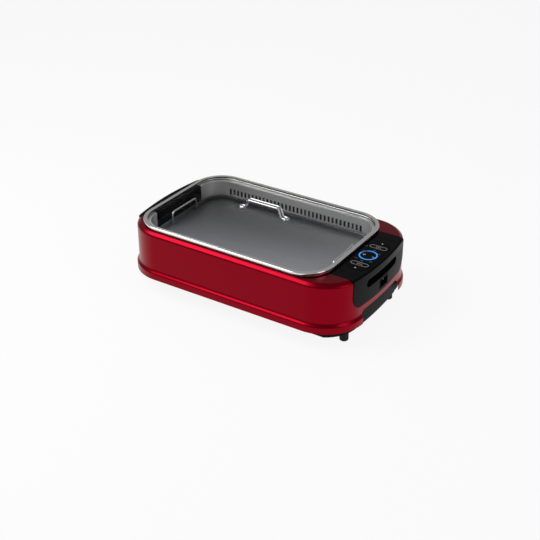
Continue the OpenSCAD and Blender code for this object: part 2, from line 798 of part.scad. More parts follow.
module drip_tray() {
    color("silver") translate([well_x, 0, 0]) difference() {
        union() {
            rounded_slab(tray_hl, tray_hw, tray_r, well_z, well_z + tray_h);
            rounded_slab(tray_hl + tray_lip, tray_hw + tray_lip, tray_r + tray_lip, well_z + tray_h - tray_t, well_z + tray_h);
        }
        rounded_slab(tray_hl - tray_t, tray_hw - tray_t, tray_r - tray_t, well_z + tray_t, well_z + tray_h + 1);
    }
}

// One U bend of the heating tube, opening towards -X.
module tube_bend() {
    rotate([0, 0, -90]) rotate_extrude(angle = 180) translate([tube_pitch / 2, 0]) circle(d = tube_d, $fn = 32);
}

module heating_tube() {
    first_y = -(tube_n - 1) / 2 * tube_pitch;
    color("dimgray") translate([well_x, 0, tube_z]) union() {
        for (i = [0 : tube_n - 1]) translate([-tube_half, first_y + i * tube_pitch, 0])
            rotate([0, 90, 0]) cylinder(h = tube_half + (i == 0 || i == tube_n - 1 ? tube_end : tube_half),
                d = tube_d, $fn = 32);
        for (i = [0 : tube_n - 2]) translate([i % 2 == 0 ? -tube_half : tube_half,
            first_y + (i + 0.5) * tube_pitch, 0]) mirror([i % 2 == 0 ? 1 : 0, 0, 0]) tube_bend();
    }
}

module heater_straps() {
    color("silver") for (sx = [-1, 1]) translate([well_x + sx * strap_gap / 2 - strap_w / 2,
        -tub_hw + 3, strap_z]) cube([strap_w, 2 * (tub_hw - 3), strap_t]);
}

module heater_block() {
    left = well_x + tube_end;
    color("ivory") difference() {
        translate([left, -block_w / 2, block_z]) cube([block_x - left, block_w, block_h]);
        for (s = [-1, 1]) translate([contact_x, s * contact_y, block_z - 1])
            cylinder(h = contact_l + 1, d = contact_d, $fn = 32);
    }
}

module heater_contacts() {
    color("gold") for (s = [-1, 1]) translate([contact_x, s * contact_y, block_z + 2 - contact_l])
        cylinder(h = 2 * contact_l - 2, d = contact_d, $fn = 32);
}

module griddle_plate() {
    color("darkslategray") translate([well_x, 0, 0]) difference() {
        union() {
            difference() {
                rounded_slab(plate_hl, plate_hw, plate_r, ledge_z, plate_top);
                rounded_slab(plate_hl - plate_rim, plate_hw - plate_rim, plate_r - plate_rim,
                    ledge_z + plate_t, plate_top + 1);
                difference() {
                    rounded_slab(plate_hl - plate_rim, plate_hw - plate_rim, plate_r - plate_rim,
                        ledge_z + plate_t - groove_d, plate_top);
                    rounded_slab(plate_hl - plate_rim - groove_w, plate_hw - plate_rim - groove_w,
                        plate_r - plate_rim - groove_w, ledge_z, plate_top + 1);
                }
            }
            for (sx = [-1, 1], sy = [-1, 1]) translate([sx * lug_x, sy * loop_w / 2, ledge_z])
                cylinder(h = plate_h, d = lug_d, $fn = 48);
        }
        for (sx = [-1, 1], sy = [-1, 1]) translate([sx * lug_x, sy * loop_w / 2, plate_top - loop_seat])
            cylinder(h = loop_seat + 1, d = loop_d, $fn = 32);
        for (i = [0 : drain_n - 1]) translate([(i - (drain_n - 1) / 2) * 60 - drain_l / 2,
            -plate_hw + plate_rim + groove_w / 2 - drain_w / 2, ledge_z - 1]) cube([drain_l, drain_w, 8]);
    }
}

// A plate handle: two upright legs and a bar, with the wire's rounded bends.
module plate_loop() {
    bend = 2 * loop_d;
    hw = loop_w / 2;
    bar_z = plate_top + loop_h;
    color("silver") union() {
        for (s = [-1, 1]) translate([0, s * hw, plate_top - loop_seat])
            cylinder(h = loop_seat + loop_h - bend + eps, d = loop_d, $fn = 32);
        translate([0, -hw + bend - eps, bar_z]) rotate([-90, 0, 0])
            cylinder(h = 2 * (hw - bend + eps), d = loop_d, $fn = 32);
        for (s = [0, 1]) mirror([0, s, 0]) translate([0, hw - bend, bar_z - bend]) rotate([90, 0, 90])
            rotate_extrude(angle = 90) translate([bend, 0]) circle(d = loop_d, $fn = 32);
    }
}

module plate_handle_left() { translate([well_x - lug_x, 0, 0]) plate_loop(); }
module plate_handle_right() { translate([well_x + lug_x, 0, 0]) plate_loop(); }

// Corner arcs of a rounded rectangle, as points, outline_n steps a corner.
function outline(hl, hw, r) = [for (q = [0 : 3], i = [0 : outline_n])
    let (a = 90 * q + 90 * i / outline_n,
        sx = (q == 0 || q == 3) ? 1 : -1,
        sy = (q < 2) ? 1 : -1)
    [sx * (hl - r) + r * cos(a), sy * (hw - r) + r * sin(a)]];

// The dome's outline from its edge (t = 0) to its flat top (t = 1), a little further in by inset.
function dome_ring(t, inset) = let (u = 1 - cos(90 * t)) outline(
    glass_hl - rim_w - inset - (glass_hl - rim_w - flat_hl) * u,
    glass_hw - rim_w - inset - (glass_hw - rim_w - flat_hw) * u,
    glass_r - rim_w - inset - (glass_r - rim_w - inset - flat_r) * u);
function dome_rise(t) = dome_h * pow(sin(90 * t), 0.8);
function at_height(ring, z) = [for (p = ring) [p[0], p[1], z]];

// A closed stack of point rings from the lower to the upper one.
module ring_stack(rings) {
    m = len(rings);
    n = len(rings[0]);
    polyhedron(points = [for (ring = rings) each ring], faces = concat(
        [[for (i = [0 : n - 1]) i]],
        [[for (i = [n - 1 : -1 : 0]) (m - 1) * n + i]],
        [for (j = [0 : m - 2], i = [0 : n - 1]) [j * n + i, (j + 1) * n + i, (j + 1) * n + (i + 1) % n]],
        [for (j = [0 : m - 2], i = [0 : n - 1])
            [j * n + i, (j + 1) * n + (i + 1) % n, j * n + (i + 1) % n]]));
}

module lid_glass() {
    edge_z = glass_z + glass_t;
    inner = [for (j = [dome_n : -1 : 0]) let (t = j / dome_n) at_height(dome_ring(t, glass_t * cos(90 * t)),
        edge_z + dome_rise(t) - glass_t * sin(90 * t))];
    edge = [at_height(dome_ring(0, glass_t), glass_z), at_height(outline(glass_hl, glass_hw, glass_r), glass_z),
        at_height(outline(glass_hl, glass_hw, glass_r), edge_z)];
    outer = [for (j = [0 : dome_n]) let (t = j / dome_n) at_height(dome_ring(t, 0), edge_z + dome_rise(t))];
    color([0.8, 0.86, 0.88, 0.35]) difference() {
        translate([well_x, 0, 0]) ring_stack(concat(inner, edge, outer));
        for (x = screw_at) translate([x, 0, dome_z - glass_t - 1])
            cylinder(h = glass_t + 2, d = lid_screw_d, $fn = 32);
    }
}

module lid_rim() {
    color("silver") translate([well_x, 0, 0]) difference() {
        rounded_slab(lid_hl, lid_hw, lid_r, rim_z, rim_z + rim_h);
        rounded_slab(lid_hl - rim_w, lid_hw - rim_w, lid_r - rim_w, rim_z - 1, rim_z + rim_h + 1);
        rounded_slab(glass_hl, glass_hw, glass_r, glass_z, glass_z + glass_t);
    }
}

module lid_seal() {
    in = 3;
    color("black") translate([well_x, 0, 0]) difference() {
        rounded_slab(lid_hl - in, lid_hw - in, lid_r - in, seal_z, rim_z);
        rounded_slab(lid_hl - rim_w, lid_hw - rim_w, lid_r - rim_w, seal_z - 1, rim_z + 1);
    }
}

// A wire along points in the XZ plane, with a slightly fuller knuckle at each bend.
module bent_wire(p, d) {
    n = len(p);
    for (i = [0 : n - 2]) translate([p[i][0], 0, p[i][1]])
        rotate([0, 90 - atan2(p[i + 1][1] - p[i][1], p[i + 1][0] - p[i][0]), 0])
            cylinder(h = norm(p[i + 1] - p[i]), d = d, $fn = 32);
    for (i = [1 : n - 2]) translate([p[i][0], 0, p[i][1]]) sphere(d = knuckle * d, $fn = 32);
}

module lid_handle() {
    top = dome_z + handle_h - wire_r;
    eye_x = eye_span / 2;
    rise_x = eye_x - foot_in;
    route = [[-eye_x, wire_foot_z], [-rise_x, wire_foot_z], [-bar_l / 2, top],
        [bar_l / 2, top], [rise_x, wire_foot_z], [eye_x, wire_foot_z]];
    color("silver") translate([well_x + handle_x, 0, 0]) union() {
        for (s = [-1, 1]) translate([0, s * eye_r, 0]) bent_wire(route, wire_d);
        for (s = [-1, 1]) translate([s * eye_x, 0, wire_foot_z]) rotate([0, 0, s > 0 ? -90 : 90])
            rotate_extrude(angle = 180) translate([eye_r, 0]) circle(d = wire_d, $fn = 32);
    }
}

// The washers that the eyelets are welded to, and those under the glass.
module handle_washers() {
    color("silver") for (x = screw_at) translate([x, 0, 0]) difference() {
        union() {
            translate([0, 0, dome_z]) cylinder(h = washer_t, d = washer_d, $fn = 48);
            translate([0, 0, dome_z - glass_t - washer_t]) cylinder(h = washer_t, d = washer_d, $fn = 48);
        }
        translate([0, 0, dome_z - glass_t - washer_t - 1]) cylinder(h = glass_t + 4, d = lid_screw_d, $fn = 32);
    }
}

module handle_screws() {
    top = dome_z + washer_t;
    bottom = dome_z - glass_t - washer_t - nut_h - 1;
    color("silver") for (x = screw_at) translate([x, 0, 0]) union() {
        translate([0, 0, bottom]) cylinder(h = top - bottom, d = lid_screw_d, $fn = 32);
        translate([0, 0, top]) cylinder(h = screw_head_h, d = screw_head_d, $fn = 48);
    }
}

module handle_nuts() {
    color("silver") for (x = screw_at) translate([x, 0, dome_z - glass_t - washer_t - nut_h]) difference() {
        cylinder(h = nut_h, d = nut_d, $fn = 6);
        translate([0, 0, -1]) cylinder(h = nut_h + 2, d = lid_screw_d, $fn = 32);
    }
}

outer_shell();
base_pan();
foot_front_left();
foot_front_right();
foot_rear_left();
foot_rear_right();
foot_screws();
shell_screws();
cooking_well();
heater_hooks();
heater_socket();
end_cap();
control_housing();
control_panel();
light_ring();
control_board();
board_screws();
inlet_socket();
inlet_pins();
air_duct();
fan_casing();
fan_motor();
fan_wheel();
fan_shaft();
casing_screws();
drip_tray();
heating_tube();
heater_straps();
heater_block();
heater_contacts();
griddle_plate();
plate_handle_left();
plate_handle_right();
lid_glass();
lid_rim();
lid_seal();
lid_handle();
handle_screws();
handle_washers();
handle_nuts();
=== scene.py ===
"""Finished look of an electric indoor grill with a lift-off glass lid.

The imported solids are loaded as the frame. Each operator builds one piece or a
group of like pieces over them, and the last one sets the stage.
"""

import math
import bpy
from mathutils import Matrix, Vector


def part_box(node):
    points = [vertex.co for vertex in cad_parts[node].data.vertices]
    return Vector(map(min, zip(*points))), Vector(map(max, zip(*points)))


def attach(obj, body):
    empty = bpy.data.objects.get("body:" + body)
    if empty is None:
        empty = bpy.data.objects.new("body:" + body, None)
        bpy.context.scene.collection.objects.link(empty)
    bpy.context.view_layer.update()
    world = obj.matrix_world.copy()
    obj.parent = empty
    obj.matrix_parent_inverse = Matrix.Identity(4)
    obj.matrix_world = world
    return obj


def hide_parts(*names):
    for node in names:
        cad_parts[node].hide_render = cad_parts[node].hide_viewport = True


bl_info = {
    "name": "Electric indoor grill",
    "version": (1, 0, 0),
    "blender": (4, 5, 0),
    "location": "3D View > Sidebar > Grill",
    "description": "Builds the finished look of an electric indoor grill with a lid",
    "category": "Object",
}

import bmesh
import bpy
from bpy.props import FloatProperty, FloatVectorProperty, IntProperty, PointerProperty
from mathutils import Matrix, Vector

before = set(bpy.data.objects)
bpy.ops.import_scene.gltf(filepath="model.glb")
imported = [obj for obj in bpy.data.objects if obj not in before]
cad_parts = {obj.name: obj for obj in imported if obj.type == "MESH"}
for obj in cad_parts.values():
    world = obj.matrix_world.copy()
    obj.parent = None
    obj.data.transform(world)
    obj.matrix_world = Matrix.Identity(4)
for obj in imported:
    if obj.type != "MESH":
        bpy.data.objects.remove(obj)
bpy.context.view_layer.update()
MM = 0.001

shell_lo, shell_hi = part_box("outer_shell")
well_lo, well_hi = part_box("cooking_well")
plate_lo, plate_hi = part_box("griddle_plate")
rim_lo, rim_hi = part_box("lid_rim")
glass_lo, glass_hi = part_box("lid_glass")
wire_lo, wire_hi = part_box("lid_handle")
panel_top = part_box("control_panel")[1].z
ring_lo, ring_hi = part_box("light_ring")
socket_lo, socket_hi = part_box("inlet_socket")
well_x = (well_lo.x + well_hi.x) / 2
wire_x = (wire_lo.x + wire_hi.x) / 2


# ---------------------------------------------------------------- settings


def length(name, description, millimetres):
    """A setting that is a length."""
    return FloatProperty(name=name, description=description, default=millimetres * MM, unit="LENGTH")


def colour_setting(name, description, value):
    """A setting that is a colour."""
    return FloatVectorProperty(
        name=name, description=description, subtype="COLOR", size=4, default=(*value, 1.0)
    )


class GrillShellSettings(bpy.types.PropertyGroup):
    wall_length: length("Wall length", "Length of the shell's wall", 524)
    wall_width: length("Wall width", "Width of the shell's wall", 311)
    corner_radius: length("Corner radius", "Radius of the corners from above", 81)
    bow_radius: length("End bow", "Radius of the slow bow of the ends", 924)
    fold_width: length("Fold width", "Width of the sloping fold round the top", 8)
    fold_height: length("Fold height", "Height of the fold round the top", 6)
    slope_height: length("Slope height", "Height of the skirt's slope", 5.5)
    band_height: length("Band height", "Height of the skirt's upright band", 14)
    sheet: length("Sheet", "Thickness of the shell's sheet", 1.2)
    enamel: colour_setting("Enamel", "Colour of the red enamel", (0.26, 0.0014, 0.0105))


class GrillLidSettings(bpy.types.PropertyGroup):
    corner_radius: length("Corner radius", "Corner radius of the rim", 64)
    rim_width: length("Rim width", "Width of the rim", 8)
    glass_thickness: length("Glass", "Thickness of the glass", 3)
    dome_steps: IntProperty(
        name="Dome steps", description="Rings of the dome from its edge to its top", default=18
    )
    wire: length("Wire", "Diameter of the handle's wire", 3.5)
    wire_gap: length("Wire spacing", "Distance between the two wires", 9)
    bar_length: length("Bar length", "Length of the raised bars", 74)


class GrillCookingSettings(bpy.types.PropertyGroup):
    edge_softness: length("Plate edges", "Rounding of the cast plate's edges", 0.7)
    wire: length("Handle wire", "Diameter of the plate handles' wire", 4)
    bend: length("Handle bend", "Bend radius of the plate handles", 9)
    coating: colour_setting("Coating", "Colour of the non-stick coating", (0.032, 0.033, 0.035))


class GrillControlSettings(bpy.types.PropertyGroup):
    edge_softness: length("Edges", "Rounding of the moulded end pieces", 0.8)
    key_length: length("Key length", "Length of a touch key's outline", 37)
    key_width: length("Key width", "Width of a touch key's outline", 12)
    key_distance: length("Key distance", "Distance of a touch key from the middle", 38.5)
    inlet_shift: length("Inlet frame", "Distance of the inlet's frame from the middle", 6.5)
    glow: colour_setting("Glow", "Colour of the light ring", (0.035, 0.3, 0.9))
    glow_strength: FloatProperty(
        name="Glow strength", description="Brightness of the light ring", default=1.0
    )


class GrillStageSettings(bpy.types.PropertyGroup):
    floor: colour_setting("Floor", "Colour of the floor", (0.86, 0.86, 0.86))
    floor_white: FloatProperty(
        name="White share", description="Share of plain white in the floor that the camera sees", default=0.9
    )
    room_light: FloatProperty(
        name="Room light", description="Strength of the light from all round", default=0.32
    )
    camera_azimuth: FloatProperty(
        name="Azimuth", description="Angle of the camera round the grill", default=math.radians(32.82),
        subtype="ANGLE",
    )
    camera_elevation: FloatProperty(
        name="Elevation", description="Angle of the camera above the table", default=math.radians(29.81),
        subtype="ANGLE",
    )
    camera_place: FloatVectorProperty(
        name="Camera", description="Where the camera stands", unit="LENGTH",
        default=(1040 * MM, -1607 * MM, 1135 * MM),
    )
    lens: FloatProperty(
        name="Lens", description="Focal length on a 36 mm sensor", default=70.56, unit="CAMERA"
    )


# ---------------------------------------------------------------- shapes


def rounded_outline(half_l, half_w, radius, steps=12, centre=(0.0, 0.0)):
    """Points and outward directions round a rounded rectangle, seen from above."""
    found = []
    for quarter in range(4):
        sx = 1 if quarter in (0, 3) else -1
        sy = 1 if quarter < 2 else -1
        middle = Vector((centre[0] + sx * (half_l - radius), centre[1] + sy * (half_w - radius), 0))
        for i in range(steps + 1):
            a = math.radians(90) * (quarter + i / steps)
            out = Vector((math.cos(a), math.sin(a), 0))
            found.append((middle + radius * out, out))
    return found


def bowed_outline(s, corner_steps=16, bow_steps=10):
    """The same round the shell's wall, whose two ends are slow bows."""
    bow_x = s.wall_length / 2 - s.bow_radius
    corner_y = s.wall_width / 2 - s.corner_radius
    corner_x = bow_x + math.sqrt((s.bow_radius - s.corner_radius) ** 2 - corner_y**2)
    slope = math.atan2(corner_y, corner_x - bow_x)
    right, half_turn = math.radians(90), math.radians(180)
    arcs = [
        (bow_x, 0, s.bow_radius, -slope, slope, bow_steps),
        (corner_x, corner_y, s.corner_radius, slope, right, corner_steps),
        (-corner_x, corner_y, s.corner_radius, right, half_turn - slope, corner_steps),
        (-bow_x, 0, s.bow_radius, half_turn - slope, half_turn + slope, bow_steps),
        (-corner_x, -corner_y, s.corner_radius, half_turn + slope, 3 * right, corner_steps),
        (corner_x, -corner_y, s.corner_radius, 3 * right, 2 * half_turn - slope, corner_steps),
    ]
    found = []
    for cx, cy, radius, a0, a1, steps in arcs:
        skip = radius == s.bow_radius
        for i in range(skip, steps + 1 - skip):
            a = a0 + (a1 - a0) * i / steps
            out = Vector((math.cos(a), math.sin(a), 0))
            found.append((Vector((cx, cy, 0)) + radius * out, out))
    return found


def loft(bm, outline, section):
    """Draws the outline and extrudes it from one (offset, height) point of a closed section to the next.
    Returns the ring of edges at each point of the section."""
    offset, height = section[0]
    verts = [bm.verts.new(p + offset * out + Vector((0, 0, height))) for p, out in outline]
    side = {v: out for v, (p, out) in zip(verts, outline)}
    rings = [[bm.edges.new((verts[i - 1], verts[i])) for i in range(len(verts))]]
    for (d0, z0), (d1, z1) in zip(section, section[1:]):
        made = bmesh.ops.extrude_edge_only(bm, edges=rings[-1])["geom"]
        fresh = [g for g in made if isinstance(g, bmesh.types.BMVert)]
        side = {v: next(side[e.other_vert(v)] for e in v.link_edges if e.other_vert(v) in side) for v in fresh}
        for v, out in side.items():
            v.co += (d1 - d0) * out + Vector((0, 0, z1 - z0))
        rings.append([g for g in made if isinstance(g, bmesh.types.BMEdge) and all(v in side for v in g.verts)])
    bmesh.ops.bridge_loops(bm, edges=rings[0] + rings[-1])
    return rings


def soften(bm, edges, width, segments=3, clamp=True):
    """Rounds these edges."""
    edges = [e for e in edges if e.is_valid]
    bmesh.ops.bevel(
        bm, geom=edges, offset=width, offset_type="OFFSET", segments=segments, profile=0.5,
        affect="EDGES", clamp_overlap=clamp, material=-1,
    )


def add_block(bm, low, high):
    """A box between two corners."""
    low, high = Vector(low), Vector(high)
    made = bmesh.ops.create_cube(bm, size=1.0)["verts"]
    bmesh.ops.scale(bm, verts=made, vec=high - low)
    bmesh.ops.translate(bm, verts=made, vec=(low + high) / 2)
    return made


def edges_along(verts, axis, test=lambda e: True):
    """The edges of these vertices that run along an axis."""
    found = set()
    for v in verts:
        for e in v.link_edges:
            run = (e.verts[1].co - e.verts[0].co).normalized()
            if abs(run[axis]) > 0.999 and test(e):
                found.add(e)
    return list(found)


def rounded_block(bm, low, high, radius, axis=2, segments=12, test=lambda e: True):
    """A box whose edges along one axis are rounded."""
    made = add_block(bm, low, high)
    soften(bm, edges_along(made, axis, test), radius, segments)


def add_disc(bm, centre, radius, depth, axis=2, segments=32):
    """A cylinder about a point."""
    made = bmesh.ops.create_cone(
        bm, cap_ends=True, cap_tris=False, segments=segments, radius1=radius, radius2=radius, depth=depth,
    )["verts"]
    turn = {0: Matrix.Rotation(math.radians(90), 3, "Y"), 1: Matrix.Rotation(math.radians(-90), 3, "X")}
    if axis in turn:
        bmesh.ops.rotate(bm, verts=made, cent=(0, 0, 0), matrix=turn[axis])
    bmesh.ops.translate(bm, verts=made, vec=centre)
    return made


def new_mesh(bm, name, recalculate=True):
    """The mesh of a finished bmesh."""
    bmesh.ops.remove_doubles(bm, verts=bm.verts, dist=1e-7)
    if recalculate:
        bmesh.ops.recalc_face_normals(bm, faces=bm.faces)
    mesh = bpy.data.meshes.new(name)
    bm.to_mesh(mesh)
    bm.free()
    return mesh


def evaluated_mesh(obj, name):
    """The mesh an object has once its modifiers or its curve are worked out; the object is removed."""
    bpy.context.view_layer.update()
    depsgraph = bpy.context.evaluated_depsgraph_get()
    mesh = bpy.data.meshes.new_from_object(obj.evaluated_get(depsgraph))
    mesh.name = name
    bpy.data.objects.remove(obj)
    return mesh


def cut(mesh, cutters):
    """Takes each cutter's shape out of a mesh."""
    target = bpy.data.objects.new("cut_target", mesh)
    bpy.context.scene.collection.objects.link(target)
    tools = []
    for cutter in cutters:
        tool = bpy.data.objects.new("cut_tool", cutter)
        bpy.context.scene.collection.objects.link(tool)
        tools.append(tool)
        change = target.modifiers.new("cut", "BOOLEAN")
        change.operation = "DIFFERENCE"
        change.solver = "EXACT"
        change.object = tool
    result = evaluated_mesh(target, mesh.name)
    for tool in tools:
        bpy.data.objects.remove(tool)
    if not result.polygons:
        raise RuntimeError(f"cutting {mesh.name} left nothing")
    return result


def solid_copy(node, width, segments=2, angle=35):
    """A copy of a solid, its loose triangles merged into faces and its edges rounded."""
    bm = bmesh.new()
    bm.from_mesh(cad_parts[node].data)
    bmesh.ops.remove_doubles(bm, verts=bm.verts, dist=2e-6)
    bmesh.ops.dissolve_limit(bm, angle_limit=math.radians(0.3), verts=bm.verts, edges=bm.edges)
    if width:
        sharp = [
            e for e in bm.edges
            if len(e.link_faces) == 2 and e.calc_face_angle(0) > math.radians(angle)
        ]
        soften(bm, sharp, width, segments, clamp=False)
    return new_mesh(bm, node + "_copy", recalculate=False)


def bent_path(points, radius, steps=6, closed=False):
    """Points along a line whose corners are rounded."""
    found = []
    count = len(points)
    for i, corner in enumerate(points):
        corner = Vector(corner)
        if not closed and i in (0, count - 1):
            found.append(corner)
            continue
        back = Vector(points[i - 1]) - corner
        on = Vector(points[(i + 1) % count]) - corner
        turn = math.pi - back.angle(on)
        if turn < 0.05:
            found.append(corner)
            continue
        reach = min(radius * math.tan(turn / 2), 0.49 * back.length, 0.49 * on.length)
        start, end = corner + reach * back.normalized(), corner + reach * on.normalized()
        for k in range(steps + 1):
            t = k / steps
            found.append((1 - t) ** 2 * start + 2 * t * (1 - t) * corner + t * t * end)
    return found


def wire_mesh(name, points, diameter, closed=False, sides=5):
    """A round wire along points."""
    curve = bpy.data.curves.new(name, "CURVE")
    curve.dimensions = "3D"
    curve.bevel_depth = diameter / 2
    curve.bevel_resolution = sides
    curve.use_fill_caps = not closed
    spline = curve.splines.new("POLY")
    spline.points.add(len(points) - 1)
    for place, point in zip(spline.points, points):
        place.co = (*point, 1.0)
    spline.use_cyclic_u = closed
    obj = bpy.data.objects.new(name, curve)
    bpy.context.scene.collection.objects.link(obj)
    return evaluated_mesh(obj, name)


def text_mesh(name, words, size, place, depth=0.05 * MM):
    """Flat figures lying on a surface, read from the grill's long side."""
    curve = bpy.data.curves.new(name, "FONT")
    curve.body = words
    curve.size = size
    curve.extrude = depth / 2
    curve.align_x = "CENTER"
    curve.align_y = "CENTER"
    obj = bpy.data.objects.new(name, curve)
    bpy.context.scene.collection.objects.link(obj)
    mesh = evaluated_mesh(obj, name)
    mesh.transform(Matrix.Translation(place))
    return mesh


def joined(name, meshes):
    """One mesh of several."""
    bm = bmesh.new()
    for mesh in meshes:
        bm.from_mesh(mesh)
    result = bpy.data.meshes.new(name)
    bm.to_mesh(result)
    bm.free()
    return result


def show(mesh, name, body, material, stands_for=(), angle=32, even=True):
    """Makes the finished object of a mesh, riding on its body."""
    mesh.name = name
    mesh.materials.clear()
    mesh.materials.append(material)
    mesh.shade_smooth()
    mesh.set_sharp_from_angle(angle=math.radians(angle))
    obj = bpy.data.objects.new(name, mesh)
    bpy.context.scene.collection.objects.link(obj)
    if even:
        change = obj.modifiers.new("even_shading", "WEIGHTED_NORMAL")
        change.keep_sharp = True
    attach(obj, body)
    if stands_for:
        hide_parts(*stands_for)
    return obj


# ---------------------------------------------------------------- finishes


def add_node(tree, kind, inputs=(), **settings):
    """Adds a shader node. Each input is given a value, or another node's output to read."""
    made = tree.nodes.new("ShaderNode" + kind)
    for name, value in settings.items():
        setattr(made, name, value)
    for name, value in dict(inputs).items():
        if isinstance(value, bpy.types.NodeSocket):
            tree.links.new(value, made.inputs[name])
        else:
            made.inputs[name].default_value = value
    return made


def mix_colours(tree, factor, first, second):
    """A mix of two colours, as a node's output."""
    mixed = add_node(tree, "Mix", {"Factor": factor, "A": first, "B": second}, data_type="RGBA")
    return mixed.outputs["Result"]


def grain_effect():
    """A fine all-over grain with slow patches of a second shade. Its scale is per metre, along each axis."""
    name = "grain"
    if name in bpy.data.node_groups:
        return bpy.data.node_groups[name]
    tree = bpy.data.node_groups.new(name, "ShaderNodeTree")
    for label, kind, default in (
        ("Colour", "NodeSocketColor", (0.5, 0.5, 0.5, 1)),
        ("Second Colour", "NodeSocketColor", (0.4, 0.4, 0.4, 1)),
        ("Grain Scale", "NodeSocketVector", (900, 900, 900)),
        ("Patch Scale", "NodeSocketFloat", 9.0),
        ("Roughness", "NodeSocketFloat", 0.4),
        ("Spread", "NodeSocketFloat", 0.1),
    ):
        tree.interface.new_socket(name=label, in_out="INPUT", socket_type=kind).default_value = default
    for label, kind in (
        ("Colour", "NodeSocketColor"), ("Roughness", "NodeSocketFloat"), ("Height", "NodeSocketFloat"),
    ):
        tree.interface.new_socket(name=label, in_out="OUTPUT", socket_type=kind)
    given, made = tree.nodes.new("NodeGroupInput"), tree.nodes.new("NodeGroupOutput")
    place = add_node(tree, "TexCoord").outputs["Object"]
    stretch = add_node(tree, "VectorMath", {0: place, 1: given.outputs["Grain Scale"]}, operation="MULTIPLY")
    fine = add_node(tree, "TexNoise", {"Scale": 1.0, "Detail": 3.0, "Vector": stretch.outputs[0]}).outputs["Fac"]
    slow = add_node(tree, "TexNoise", {"Vector": place, "Scale": given.outputs["Patch Scale"], "Detail": 2.0})
    half = add_node(tree, "Math", {0: slow.outputs["Fac"], 1: 0.5}, operation="MULTIPLY").outputs[0]
    both = add_node(tree, "Math", {0: fine, 1: 0.5, 2: half}, operation="MULTIPLY_ADD").outputs[0]
    mixed = mix_colours(tree, both, given.outputs["Colour"], given.outputs["Second Colour"])
    tree.links.new(mixed, made.inputs["Colour"])
    around = add_node(tree, "Math", {0: both, 1: 0.5}, operation="SUBTRACT").outputs[0]
    rough = add_node(
        tree, "Math", {0: around, 1: given.outputs["Spread"], 2: given.outputs["Roughness"]},
        operation="MULTIPLY_ADD", use_clamp=True,
    )
    tree.links.new(rough.outputs[0], made.inputs["Roughness"])
    tree.links.new(fine, made.inputs["Height"])
    return tree


def finish(
    name, colour, second, roughness, spread=0.1, metallic=0.0, grain=900, patches=9.0, bump=0.0,
    coat=0.0, coat_roughness=0.08, specular=0.5, transmission=0.0, alpha=1.0, ior=1.5,
):
    """A material whose colour, roughness and relief vary through the grain effect."""
    if name in bpy.data.materials:
        return bpy.data.materials[name]
    material = bpy.data.materials.new(name)
    material.use_nodes = True
    tree = material.node_tree
    shader = tree.nodes["Principled BSDF"]
    for socket, value in (
        ("Metallic", metallic), ("Coat Weight", coat), ("Coat Roughness", coat_roughness),
        ("Specular IOR Level", specular), ("Transmission Weight", transmission), ("Alpha", alpha), ("IOR", ior),
    ):
        shader.inputs[socket].default_value = value
    grained = add_node(tree, "Group", node_tree=grain_effect())
    for socket, value in (
        ("Colour", (*colour[:3], 1)), ("Second Colour", (*second[:3], 1)),
        ("Grain Scale", (grain,) * 3 if isinstance(grain, int) else grain),
        ("Patch Scale", patches), ("Roughness", roughness), ("Spread", spread),
    ):
        grained.inputs[socket].default_value = value
    tree.links.new(grained.outputs["Colour"], shader.inputs["Base Color"])
    tree.links.new(grained.outputs["Roughness"], shader.inputs["Roughness"])
    if bump:
        relief = add_node(tree, "Bump", {"Strength": 1.0, "Distance": bump, "Height": grained.outputs["Height"]})
        tree.links.new(relief.outputs["Normal"], shader.inputs["Normal"])
    return material


def parts_of(material):
    """A finish's tree, shader and grain, and the object's coordinates."""
    tree = material.node_tree
    shader = tree.nodes["Principled BSDF"]
    grained = shader.inputs["Base Color"].links[0].from_node
    return tree, shader, grained, add_node(tree, "TexCoord").outputs["Object"]


def shade(colour, factor):
    """A colour made lighter or darker."""
    return tuple(c * factor for c in colour[:3])


def red_enamel():
    c = bpy.context.scene.grill_shell.enamel
    return finish(
        "red_enamel", c, shade(c, 0.9), 0.3, spread=0.05, metallic=1.0, grain=2600, patches=5.0,
        bump=0.01 * MM, coat=0.03, coat_roughness=0.12,
    )


def satin_black():
    return finish(
        "satin_black_plastic", (0.005, 0.005, 0.0055), (0.0075, 0.0075, 0.008), 0.42, spread=0.12,
        grain=2200, bump=0.012 * MM, specular=0.4, ior=1.14,
    )


def housing_black():
    """The moulded ends: satin on the wall, darker and glossier round the top."""
    name = "moulded_end_black"
    if name in bpy.data.materials:
        return bpy.data.materials[name]
    low, high = (0.0055, 0.0055, 0.006), (0.0025, 0.0025, 0.003)
    gloss_from, gloss_to, polish = 125 * MM, 126 * MM, 0.12
    material = finish(
        name, low, shade(low, 1.3), 0.36, spread=0.1, grain=2200, bump=0.01 * MM, specular=0.4, ior=1.14,
    )
    tree, shader, grained, place = parts_of(material)
    height = add_node(tree, "SeparateXYZ", {0: place}).outputs["Z"]
    upper = add_node(tree, "MapRange", {"From Min": gloss_from, "From Max": gloss_to, "Value": height})
    upper = upper.outputs["Result"]
    tree.links.new(mix_colours(tree, upper, grained.outputs["Colour"], (*high, 1)), shader.inputs["Base Color"])
    smoother = add_node(
        tree, "Math", {0: upper, 1: -polish, 2: grained.outputs["Roughness"]}, operation="MULTIPLY_ADD"
    )
    tree.links.new(smoother.outputs[0], shader.inputs["Roughness"])
    return material


def gloss_black():
    return finish(
        "gloss_black_panel", (0.0015, 0.0015, 0.002), (0.003, 0.003, 0.0035), 0.14, spread=0.06,
        grain=300, patches=30.0, specular=0.4, ior=1.12,
    )


def chrome():
    return finish("chrome_wire", (0.8, 0.8, 0.8), (0.7, 0.7, 0.71), 0.12, spread=0.1, metallic=1.0, grain=700)


def rim_steel():
    return finish(
        "polished_rim", (0.88, 0.87, 0.86), (0.8, 0.79, 0.78), 0.1, spread=0.08, metallic=1.0,
        grain=500, patches=14.0,
    )


